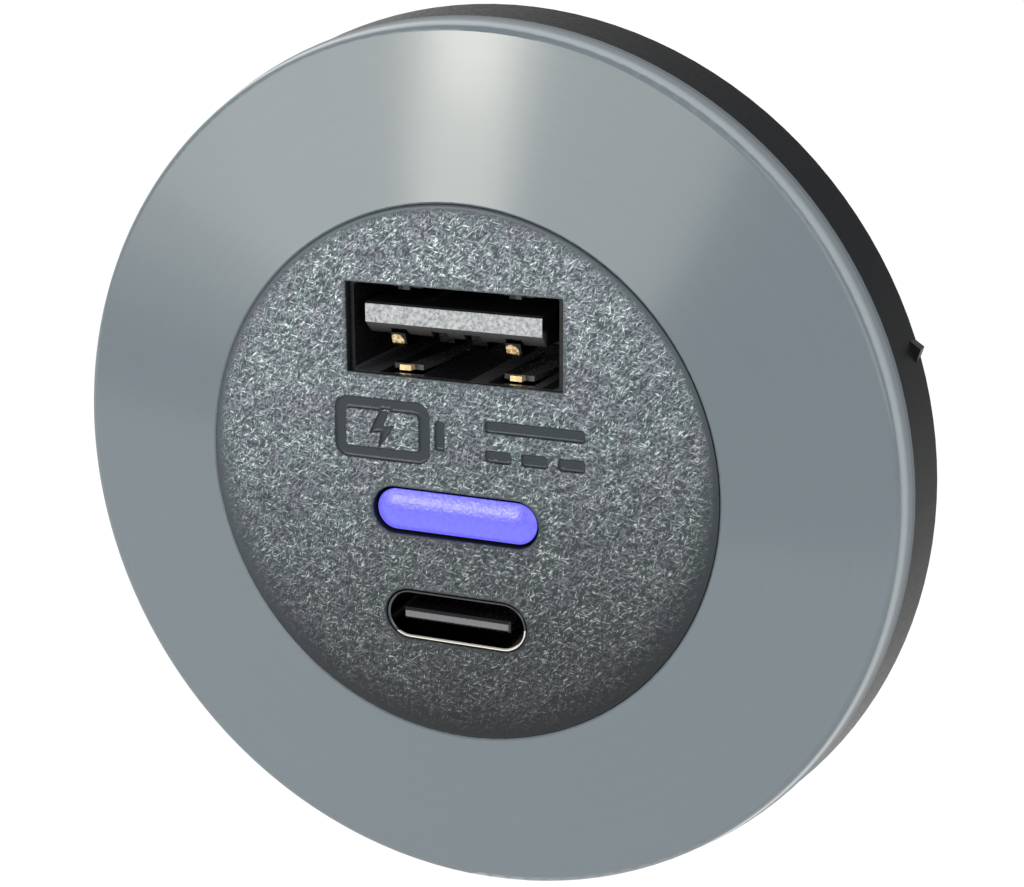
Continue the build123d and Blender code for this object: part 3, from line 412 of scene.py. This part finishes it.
# The polished rim is painted darker, most widely at the bottom as painted shade.
smooth = add(tree, "MixRGB", {"Fac": 0.5, "Color1": ground, "Color2": black}).outputs["Color"]
face = add(tree, "MixRGB", {"Fac": textured_here, "Color1": smooth, "Color2": raised}).outputs["Color"]
floor_here = add(tree, "MixRGB", {"Fac": sunk_here, "Color1": face, "Color2": linear("#2D353B")})
# The walls of the sunk signs are painted black as shade.
wall_shade = add(tree, "Math", {0: sunk_here, 1: 0.5}, operation="PINGPONG").outputs["Value"]
wall_shade = add(tree, "Math", {0: wall_shade, 1: 1.6}, operation="MULTIPLY").outputs["Value"]
colour = add(tree, "MixRGB", {"Fac": wall_shade, "Color1": floor_here.outputs["Color"], "Color2": black})
tree.links.new(colour.outputs["Color"], shader.inputs["Base Color"])
for material in (plain_nylon, eroded_nylon):
    housing_mesh.materials.append(material)
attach(front_moulding, "root")
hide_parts("front_housing")

# Lens of the lit window. A pipe of frosted polycarbonate with a crowned head, held by a flange behind
# the face. The lamp on the board makes the whole head glow violet-blue.
window_level = -2.2 * mm
head_size = (9.9 * mm, 2.4 * mm)
flange_size = (11.5 * mm, 4.0 * mm)
foot_size = (4.2 * mm, 1.9 * mm)
flange_front = 4.55 * mm
flange_rear = 3.75 * mm
head_edge = 6.4 * mm
head_crown = 0.32 * mm
crown_steps = 12
glow_depths = (-6.32 * mm, -6.42 * mm)
glow_patch = 0.25 * mm
foot_height = -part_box("light_pipe")[1].y


def oval_row(mesh, height, width, thickness, count=24):
    """Vertices round an oval with straight sides, at this height in front of the panel."""
    corner = thickness / 2
    row = []
    for side in (1, -1):
        for step in range(count + 1):
            angle = radians(-90 + 180 * step / count)
            row.append(mesh.verts.new((side * (width / 2 - corner + corner * cos(angle)), -height,
                                       window_level + side * corner * sin(angle))))
    return row


lens_mesh = bmesh.new()
sections = [(foot_height, *foot_size), (flange_rear, *head_size), (flange_rear, *flange_size),
            (flange_front, *flange_size), (flange_front, *head_size), (head_edge, *head_size)]
for step in range(1, crown_steps + 1):
    inset = head_size[1] / 2 * step / crown_steps * 0.999
    rise = head_crown * (1 - (1 - step / crown_steps) ** 2)
    sections.append((head_edge + rise, head_size[0] - 2 * inset, head_size[1] - 2 * inset))
ovals = [oval_row(lens_mesh, *section) for section in sections]
for lower, upper in zip(ovals, ovals[1:]):
    for step in range(len(lower)):
        after = (step + 1) % len(lower)
        lens_mesh.faces.new((lower[step], lower[after], upper[after], upper[step]))
lens_mesh.faces.new(ovals[0])
lens_mesh.faces.new(ovals[-1])
bmesh.ops.recalc_face_normals(lens_mesh, faces=lens_mesh.faces)
for face in lens_mesh.faces:
    face.smooth = True
for edge in lens_mesh.edges:
    edge.smooth = edge.calc_face_angle() < radians(35)
lens_data = bpy.data.meshes.new("window_lens")
lens_mesh.to_mesh(lens_data)
lens_mesh.free()
window_lens = bpy.data.objects.new("window_lens", lens_data)
bpy.context.scene.collection.objects.link(window_lens)
frosted, tree, shader = new_finish("lit frosted polycarbonate", IOR=1.58, Emission_Strength=1.0)
place, _ = give_texture(tree, shader, 0.2 * mm, 0.03 * mm, (0.06, 0.14))
depth = add(tree, "SeparateXYZ", {"Vector": place}).outputs["Y"]
lit = add(tree, "MapRange", {"Value": depth, "From Min": glow_depths[0],
                             "From Max": glow_depths[1]}).outputs["Result"]
cloud = add(tree, "TexNoise", {"Vector": place, "Scale": 1 / glow_patch, "Detail": 4.0}).outputs["Fac"]
spread = add(tree, "MapRange", {"Value": cloud, "From Min": 0.3, "From Max": 0.7}).outputs["Result"]
glow = add(tree, "MixRGB", {"Fac": spread, "Color1": linear("#6462EE"), "Color2": linear("#706FFA")})
shone = add(tree, "MixRGB", {"Fac": lit, "Color1": black, "Color2": glow.outputs["Color"]})
tree.links.new(shone.outputs["Color"], shader.inputs["Emission Color"])
body = add(tree, "MixRGB", {"Fac": lit, "Color1": linear("#0C0B1C"), "Color2": linear("#34319A")})
tree.links.new(body.outputs["Color"], shader.inputs["Base Color"])
lens_data.materials.append(frosted)
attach(window_lens, "root")
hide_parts("light_pipe")

# Rectangular port. A folded shell of nickel-plated steel. The plating inside is painted dark as shade in
# the port and greyer in bands, the cut rim is painted near black as shade, and the lower springs' nibs are
# gilt.
rim_depth = -6.28 * mm
nib_place = (3.4 * mm, 6.2 * mm)
nib_half_size = (0.37 * mm, 0.4 * mm)
nib_depth = -5.2 * mm
rubbed_bands = ((-5.5, 0.75), (-2.9, 0.55), (1.4, 0.55), (4.3, 0.9), (6.2, 0.3))

shaded_nickel, tree, shader = new_finish("nickel plate on steel with painted shade")
place, _ = give_texture(tree, shader, 0.4 * mm, 0.002 * mm, (0.2, 0.32))
axes = add(tree, "SeparateXYZ", {"Vector": place}).outputs
brightened = None
for centre, half_width in rubbed_bands:
    band = add(tree, "Math", {0: axes["X"], 1: centre * mm, 2: half_width * mm}, operation="COMPARE")
    band = band.outputs["Value"]
    if brightened:
        band = add(tree, "Math", {0: brightened, 1: band}, operation="MAXIMUM").outputs["Value"]
    brightened = band
plating = add(tree, "MapRange", {"Value": brightened, "To Min": 0.6, "To Max": 0.1})
tree.links.new(plating.outputs["Result"], shader.inputs["Metallic"])
# The plating inside is painted dark as shade, and greyer in bands.
inner = add(tree, "MixRGB", {"Fac": brightened, "Color1": linear("#2E2E34"), "Color2": linear("#4A4A50")})
# The cut rim is painted near black as shade.
rim = add(tree, "Math", {0: axes["Y"], 1: rim_depth}, operation="LESS_THAN").outputs["Value"]
plate = add(tree, "MixRGB", {"Fac": rim, "Color1": inner.outputs["Color"], "Color2": linear("#1A1C1E")})
side = add(tree, "Math", {0: axes["X"]}, operation="ABSOLUTE").outputs["Value"]
nib = add(tree, "Math", {0: side, 1: nib_place[0], 2: nib_half_size[0]}, operation="COMPARE")
low = add(tree, "Math", {0: axes["Z"], 1: nib_place[1], 2: nib_half_size[1]}, operation="COMPARE")
front = add(tree, "Math", {0: axes["Y"], 1: nib_depth}, operation="LESS_THAN")
gilded = add(tree, "Math", {0: nib.outputs["Value"], 1: low.outputs["Value"]}, operation="MULTIPLY")
gilded = add(tree, "Math", {0: gilded.outputs["Value"], 1: front.outputs["Value"]}, operation="MULTIPLY")
colour = add(tree, "MixRGB", {"Fac": gilded.outputs["Value"], "Color1": plate.outputs["Color"],
                              "Color2": linear("#E6CFA0")})
tree.links.new(colour.outputs["Color"], shader.inputs["Base Color"])
dress(shaded_nickel, "usb_a_shell")

# Its tongue is glass-filled nylon, pale and flecked at its blunt front. Behind the front it is painted
# darker as shade in the port: grey on the slope under it, and near black on its top and deeper in.
blunt_depth = -6.62 * mm
slope_depths = (-6.6 * mm, -5.9 * mm)
shade_depth = -5.85 * mm
shade_level = 8.9 * mm
fleck_size = 0.22 * mm

shaded_tongue_nylon, tree, shader = new_finish("glass-filled nylon with painted shade", IOR=1.53, Specular_IOR_Level=0.3)
place, _ = give_texture(tree, shader, 0.25 * mm, 0.02 * mm, (0.35, 0.5))
axes = add(tree, "SeparateXYZ", {"Vector": place}).outputs
fibres = add(tree, "TexNoise", {"Vector": place, "Scale": 1 / fleck_size, "Detail": 5.0, "Roughness": 0.75})
flecks = add(tree, "MapRange", {"Value": fibres.outputs["Fac"], "From Min": 0.34, "From Max": 0.6})
pale = add(tree, "MixRGB", {"Fac": flecks.outputs["Result"], "Color1": linear("#6E747A"),
                            "Color2": linear("#BCBFC6")})
# Painted shade: the slope goes from grey to near black with depth, and the top and deeper parts are near
# black.
slope = add(tree, "MapRange", {"Value": axes["Y"], "From Min": slope_depths[0], "From Max": slope_depths[1]})
grey = add(tree, "MixRGB", {"Fac": slope.outputs["Result"], "Color1": linear("#4C4C4E"),
                            "Color2": linear("#1C1C1E")})
above = add(tree, "Math", {0: axes["Z"], 1: shade_level}, operation="GREATER_THAN").outputs["Value"]
deep = add(tree, "Math", {0: axes["Y"], 1: shade_depth}, operation="GREATER_THAN").outputs["Value"]
shaded = add(tree, "Math", {0: above, 1: deep}, operation="MAXIMUM").outputs["Value"]
body = add(tree, "MixRGB", {"Fac": shaded, "Color1": grey.outputs["Color"], "Color2": linear("#08080A")})
blunt = add(tree, "Math", {0: axes["Y"], 1: blunt_depth}, operation="LESS_THAN").outputs["Value"]
colour = add(tree, "MixRGB", {"Fac": blunt, "Color1": body.outputs["Color"], "Color2": pale.outputs["Color"]})
tree.links.new(colour.outputs["Color"], shader.inputs["Base Color"])
dress(shaded_tongue_nylon, "usb_a_insulator")

# Four spring contacts are stamped from copper alloy and tinned, and the tin is painted dark as shade
# deep in the port. Only the tips of the long outer two, which touch the plug, are gold-flashed, in round
# spots.
tip_sides = (-3.62 * mm, 3.38 * mm)
tip_level = 7.62 * mm
tip_depth = -5.7 * mm
tip_edge = (0.44 * mm, 0.38 * mm)
wear_patch = 0.18 * mm

sprung, tree, shader = new_finish("tinned copper alloy with gilt tips", Metallic=1.0)
place, _ = give_texture(tree, shader, 0.15 * mm, 0.02 * mm, (0.2, 0.34))
level = add(tree, "VectorMath", {0: place, 1: (1, 0, 1)}, operation="MULTIPLY").outputs["Vector"]
nearest = 1.0
for side in tip_sides:
    away = add(tree, "VectorMath", {0: level, 1: (side, 0, tip_level)}, operation="DISTANCE")
    nearest = add(tree, "Math", {0: away.outputs["Value"], 1: nearest}, operation="MINIMUM").outputs["Value"]
flash = add(tree, "MapRange", {"Value": nearest, "From Min": tip_edge[0], "From Max": tip_edge[1]})
depth = add(tree, "SeparateXYZ", {"Vector": place}).outputs["Y"]
tip = add(tree, "Math", {0: depth, 1: tip_depth}, operation="LESS_THAN").outputs["Value"]
tip = add(tree, "Math", {0: tip, 1: flash.outputs["Result"]}, operation="MULTIPLY").outputs["Value"]
wear = add(tree, "TexNoise", {"Vector": place, "Scale": 1 / wear_patch, "Detail": 3.0}).outputs["Fac"]
wear = add(tree, "MapRange", {"Value": wear, "From Min": 0.4, "From Max": 0.6}).outputs["Result"]
gold = add(tree, "MixRGB", {"Fac": wear, "Color1": linear("#A8884C"), "Color2": linear("#F0DCB0")})
# The tin is painted dark as shade deep in the port.
colour = add(tree, "MixRGB", {"Fac": tip, "Color1": linear("#2E2E32"), "Color2": gold.outputs["Color"]})
tree.links.new(colour.outputs["Color"], shader.inputs["Base Color"])
dress(sprung, "usb_a_contact_1", "usb_a_contact_2", "usb_a_contact_3", "usb_a_contact_4")

# Oval port. A drawn tube of steel, painted dark as shade in the port. The lower edge of its rim, up into
# the right corner, is painted bright as a highlight.
oval_rim_depth = -6.6 * mm
highlight_sides = (2.4 * mm, 4.3 * mm)
highlight_levels = (-9.5 * mm, -8.4 * mm)

shaded_port_steel, tree, shader = new_finish("steel with painted shade and highlight", Metallic=1.0)
place, _ = give_texture(tree, shader, 0.4 * mm, 0.001 * mm, (0.12, 0.2))
axes = add(tree, "SeparateXYZ", {"Vector": place}).outputs
# The steel is painted dark as shade, and the lower edge of its rim bright as a highlight.
limit = add(tree, "MapRange", {"Value": axes["X"], "From Min": highlight_sides[0], "From Max": highlight_sides[1],
                               "To Min": highlight_levels[0], "To Max": highlight_levels[1]}).outputs["Result"]
lower = add(tree, "Math", {0: axes["Z"], 1: limit}, operation="LESS_THAN").outputs["Value"]
rim = add(tree, "Math", {0: axes["Y"], 1: oval_rim_depth}, operation="LESS_THAN").outputs["Value"]
brightened = add(tree, "Math", {0: lower, 1: rim}, operation="MULTIPLY").outputs["Value"]
colour = add(tree, "MixRGB", {"Fac": brightened, "Color1": linear("#5C5C62"), "Color2": linear("#FFFBF0")})
tree.links.new(colour.outputs["Color"], shader.inputs["Base Color"])
dress(shaded_port_steel, "usb_c_shell", "usb_c_mid_plate")

# Its tongue is black liquid-crystal polymer with a painted grey highlight along the middle of its front,
# and nickel-plated contacts laid flat in both faces, painted dark as shade in the port.
tongue_front_depth = -6.57 * mm
tongue_level = -8.4 * mm
highlight_half_width = 0.18 * mm

polymer, tree, shader = new_finish("black liquid-crystal polymer", IOR=1.6, Specular_IOR_Level=0.4)
place, _ = give_texture(tree, shader, 0.15 * mm, 0.004 * mm, (0.2, 0.3))
axes = add(tree, "SeparateXYZ", {"Vector": place}).outputs
# A painted highlight along the middle of the tongue's front.
front = add(tree, "Math", {0: axes["Y"], 1: tongue_front_depth}, operation="LESS_THAN").outputs["Value"]
middle = add(tree, "Math", {0: axes["Z"], 1: tongue_level, 2: highlight_half_width}, operation="COMPARE")
lightened = add(tree, "Math", {0: front, 1: middle.outputs["Value"]}, operation="MULTIPLY").outputs["Value"]
colour = add(tree, "MixRGB", {"Fac": lightened, "Color1": linear("#121216"), "Color2": linear("#6C6E73")})
tree.links.new(colour.outputs["Color"], shader.inputs["Base Color"])
dress(polymer, "usb_c_insulator")

# The contacts are painted dark as shade in the port.
shaded_contact_plate, tree, shader = new_finish("nickel plate on copper alloy with painted shade", Base_Color=linear("#3C3A36"),
                                       Metallic=1.0)
give_texture(tree, shader, 0.15 * mm, 0.002 * mm, (0.2, 0.32))
dress(shaded_contact_plate, "usb_c_upper_contacts", "usb_c_lower_contacts")

# Boards. Glass-epoxy laminate under green solder mask, with soldered chips and passive parts, and a
# header whose pins are gold-flashed.
solder_mask, tree, shader = new_finish("green solder mask on glass-epoxy", IOR=1.5)
_, relief = give_texture(tree, shader, 0.5 * mm, 0.004 * mm, (0.25, 0.38))
colour = add(tree, "MixRGB", {"Fac": relief, "Color1": linear("#123F26"), "Color2": linear("#1C5A36")})
tree.links.new(colour.outputs["Color"], shader.inputs["Base Color"])
dress(solder_mask, "port_board", "power_board")

epoxy, tree, shader = new_finish("black epoxy moulding compound", Base_Color=linear("#202122"), IOR=1.55)
give_texture(tree, shader, 0.08 * mm, 0.004 * mm, (0.5, 0.65))
dress(epoxy, "charge_controller", "buck_regulator", "surge_diode", "header_block")

gilt, tree, shader = new_finish("gold flash on copper alloy", Base_Color=linear("#E0BE78"), Metallic=1.0)
give_texture(tree, shader, 0.15 * mm, 0.002 * mm, (0.2, 0.32))
dress(gilt, "header_pins")

lamp_body, tree, shader = new_finish("white lamp package", Base_Color=linear("#E6E2D2"), IOR=1.55)
give_texture(tree, shader, 0.1 * mm, 0.002 * mm, (0.3, 0.4))
dress(lamp_body, "status_led")

ferrite, tree, shader = new_finish("sintered ferrite", Base_Color=linear("#3A3B3D"), IOR=1.9)
give_texture(tree, shader, 0.12 * mm, 0.01 * mm, (0.5, 0.7))
dress(ferrite, "power_inductor")

can, tree, shader = new_finish("satin aluminium can", Base_Color=linear("#C6C9CC"), Metallic=1.0)
give_texture(tree, shader, 0.1 * mm, 0.002 * mm, (0.28, 0.4))
dress(can, "input_capacitor")

ceramic, tree, shader = new_finish("tan ceramic", Base_Color=linear("#A88A68"), IOR=1.7)
give_texture(tree, shader, 0.1 * mm, 0.003 * mm, (0.35, 0.5))
dress(ceramic, "output_capacitors", "input_fuse")

# Spacer. A moulded sleeve of natural nylon that keeps the two boards apart.
natural_nylon, tree, shader = new_finish("natural nylon", Base_Color=linear("#D8D5C8"), IOR=1.53,
                                         Subsurface_Weight=0.2, Subsurface_Scale=0.5 * mm)
give_texture(tree, shader, 0.3 * mm, 0.004 * mm, (0.35, 0.45))
dress(natural_nylon, "board_spacer")

# Rear cap and blades. The cap snaps into the barrel and is moulded in the housing's black nylon; the
# blades are stamped from brass sheet and tinned.
dress(plain_nylon, "rear_cap")
tinned, tree, shader = new_finish("tin plate on brass", Base_Color=linear("#BDBBB4"), Metallic=1.0)
give_texture(tree, shader, 0.5 * mm, 0.004 * mm, (0.26, 0.42))
dress(tinned, "terminal_positive", "terminal_negative")

# Cover ring. One moulding in glossy grey ABS, clipped over the base ring. Wiping has left its gloss
# finely streaked round the ring, which softens the lights that it mirrors. A painted highlight line runs
# round its edge, and the skirt behind it is duller and darker.
streak_pitch = 0.25 * mm
highlight_radius = 25.2 * mm
highlight_fade = (0.14 * mm, 0.04 * mm)
dull_radii = (25.28 * mm, 25.36 * mm)
skirt_radius = 25.42 * mm

trim_grey, tree, shader = new_finish("glossy grey ABS", IOR=1.54)
place = add(tree, "TexCoord").outputs["Object"]
level = add(tree, "VectorMath", {0: place, 1: (1, 0, 1)}, operation="MULTIPLY").outputs["Vector"]
outward = add(tree, "VectorMath", {0: level}, operation="NORMALIZE").outputs["Vector"]
distance = add(tree, "VectorMath", {0: level}, operation="LENGTH").outputs["Value"]
lanes = add(tree, "Math", {0: distance, 1: 1 / streak_pitch}, operation="MULTIPLY").outputs["Value"]
lane = add(tree, "CombineXYZ", {"Y": lanes}).outputs["Vector"]
around = add(tree, "VectorMath", {0: outward, "Scale": 3.0}, operation="SCALE").outputs["Vector"]
swirl = add(tree, "VectorMath", {0: around, 1: lane}, operation="ADD").outputs["Vector"]
streaks = add(tree, "TexNoise", {"Vector": swirl, "Scale": 1.0, "Detail": 3.0}).outputs["Fac"]
gloss = add(tree, "MapRange", {"Value": streaks, "From Min": 0.3, "From Max": 0.7,
                               "To Min": 0.11, "To Max": 0.13}).outputs["Result"]
dulled = add(tree, "MapRange", {"Value": distance, "From Min": dull_radii[0], "From Max": dull_radii[1],
                                "To Min": gloss, "To Max": 0.4})
tree.links.new(dulled.outputs["Result"], shader.inputs["Roughness"])
colour = add(tree, "MixRGB", {"Fac": streaks, "Color1": linear("#68737C"), "Color2": linear("#6B767F")})
# A painted highlight line round the edge.
aside = add(tree, "Math", {0: distance, 1: highlight_radius}, operation="SUBTRACT").outputs["Value"]
aside = add(tree, "Math", {0: aside}, operation="ABSOLUTE").outputs["Value"]
edge = add(tree, "MapRange", {"Value": aside, "From Min": highlight_fade[0], "From Max": highlight_fade[1],
                              "To Max": 0.6}).outputs["Result"]
brightened = add(tree, "MixRGB", {"Fac": edge, "Color1": colour.outputs["Color"], "Color2": linear("#B4BEC4")})
skirt = add(tree, "Math", {0: distance, 1: skirt_radius}, operation="GREATER_THAN").outputs["Value"]
colour = add(tree, "MixRGB", {"Fac": skirt, "Color1": brightened.outputs["Color"], "Color2": linear("#525C64")})
tree.links.new(colour.outputs["Color"], shader.inputs["Base Color"])
dress(trim_grey, "cover_ring")

# Studio. A pale table far below, whose front edge is under a metre away, and a white surround that
# mirrors darker toward the front. On the left stand a wide soft panel and a narrow strip, on the right
# a fill. The lamps of a panel stand a little apart, since in one plane only one of them is mirrored.
floor_level = -0.3
floor_half = 12.0
floor_white = 0.97
table_edge = (-0.85, -0.81)
beyond_table = 0.35
front_level = 0.4
surround_level = 0.7
lamp_distance = 2.0
lamp_step = 0.02
lamp_tint = (1.0, 0.965, 0.86)

bpy.ops.mesh.primitive_plane_add(size=2 * floor_half, location=(0, 0, floor_level))
floor = bpy.context.object
floor.name = "floor"
floor_paint = bpy.data.materials.new("pale floor")
floor_paint.use_nodes = True
tree = floor_paint.node_tree
tree.nodes.clear()
path = add(tree, "LightPath").outputs
seen = add(tree, "Math", {0: path["Is Camera Ray"], 1: path["Is Glossy Ray"]}, operation="MAXIMUM")
seen = add(tree, "Math", {0: seen.outputs["Value"], 1: path["Is Transmission Ray"]}, operation="MAXIMUM")
paint = add(tree, "BsdfDiffuse", {"Color": linear("#E4E4E2")})
nearness = add(tree, "SeparateXYZ", {"Vector": add(tree, "TexCoord").outputs["Object"]}).outputs["Y"]
mirrored = add(tree, "MapRange", {"Value": nearness, "From Min": table_edge[0], "From Max": table_edge[1],
                                  "To Min": beyond_table, "To Max": floor_white}).outputs["Result"]
level = add(tree, "MapRange", {"Value": path["Is Camera Ray"], "To Min": mirrored, "To Max": floor_white})
white = add(tree, "Emission", {"Color": (1, 1, 1, 1), "Strength": level.outputs["Result"]})
thin = add(tree, "BsdfDiffuse", {"Color": (0.1, 0.1, 0.1, 1)})
bright = add(tree, "AddShader", {0: white.outputs["Emission"], 1: thin.outputs["BSDF"]})
shown = add(tree, "MixShader", {0: seen.outputs["Value"], 1: paint.outputs["BSDF"],
                                2: bright.outputs["Shader"]})
add(tree, "OutputMaterial", {"Surface": shown.outputs["Shader"]})
floor.data.materials.append(floor_paint)

world = bpy.data.worlds.new("studio")
bpy.context.scene.world = world
world.use_nodes = True
tree = world.node_tree
tree.nodes.clear()
path = add(tree, "LightPath").outputs
toward = add(tree, "SeparateXYZ", {"Vector": add(tree, "TexCoord").outputs["Generated"]}).outputs["Y"]
mirrored = add(tree, "MapRange", {"Value": toward, "From Min": -0.3, "From Max": 0.1,
                                  "To Min": front_level, "To Max": 1.0}).outputs["Result"]
seen = add(tree, "Math", {0: path["Is Glossy Ray"], 1: path["Is Transmission Ray"]}, operation="MAXIMUM")
level = add(tree, "MapRange", {"Value": seen.outputs["Value"], "To Min": surround_level,
                               "To Max": mirrored}).outputs["Result"]
level = add(tree, "MapRange", {"Value": path["Is Camera Ray"], "To Min": level, "To Max": 1.0})
sky = add(tree, "Background", {"Color": (1, 1, 1, 1), "Strength": level.outputs["Result"]})
add(tree, "OutputWorld", {"Surface": sky.outputs["Background"]})


def soft_lamp(name, azimuth, half_width, lowest, highest, distance, radiance):
    """An upright lamp panel that faces the part. Angles are in degrees as the part sees them, and the
    azimuth is measured from straight ahead of the face toward +X."""
    data = bpy.data.lights.new(name, "AREA")
    data.shape = "RECTANGLE"
    data.size = 2 * distance * tan(radians(half_width))
    bottom, top = (distance * tan(radians(angle)) for angle in (lowest, highest))
    data.size_y = top - bottom
    data.energy = radiance * np.pi * data.size * data.size_y
    data.color = lamp_tint
    toward = Vector((sin(radians(azimuth)), -cos(radians(azimuth)), 0))
    up = Vector((0, 0, 1))
    lamp = bpy.data.objects.new(name, data)
    bpy.context.scene.collection.objects.link(lamp)
    lamp.matrix_world = Matrix((up.cross(toward), up, toward)).transposed().to_4x4()
    lamp.location = toward * distance + up * (top + bottom) / 2
    lamp.visible_camera = False


panel_right, panel_top = -6.4, 30
for step, (left, lowest, radiance) in enumerate(((-58, -1, 1.1), (-55, -4.5, 0.8), (-51, -8, 0.7))):
    soft_lamp(f"wide panel {step}", (left + panel_right) / 2, (panel_right - left) / 2, lowest, panel_top,
              lamp_distance + lamp_step * step, radiance)
for step, half_width in enumerate((8.5, 5.5)):
    soft_lamp(f"bright part {step}", -36, half_width, -3, panel_top,
              lamp_distance - lamp_step * (step + 1), 0.4)
soft_lamp("right fill", 36, 22, -5, 40, lamp_distance, 1.3)
for step, (half_width, lowest, radiance) in enumerate(((5.0, 3, 2.4), (3.7, 2.5, 2.6), (2.6, 9, 5.8))):
    soft_lamp(f"narrow strip {step}", -24.3, half_width, lowest, 18, lamp_distance - lamp_step * (step + 3),
              radiance)

# Camera. It stands to the right of the socket and a little above it, and leans by a fraction of a degree.
camera_place = Vector((51.35, -115.77, 36.27)) * mm
camera_aim = Vector((3.493, -6.5, 2.48)) * mm
camera_lean = radians(-0.3)
camera_data = bpy.data.cameras.new("camera")
camera_data.lens = 78.71
camera_data.sensor_width = 36.0
camera_data.clip_start = 0.005
camera_data.clip_end = 100.0
camera = bpy.data.objects.new("camera", camera_data)
bpy.context.scene.collection.objects.link(camera)
back = (camera_place - camera_aim).normalized()
right = Vector((0, 0, 1)).cross(back).normalized()
up = back.cross(right)
right, up = (cos(camera_lean) * right + sin(camera_lean) * up,
             cos(camera_lean) * up - sin(camera_lean) * right)
camera.matrix_world = Matrix((right, up, back)).transposed().to_4x4()
camera.location = camera_place
bpy.context.scene.camera = camera
bpy.context.scene.view_settings.view_transform = "Standard"
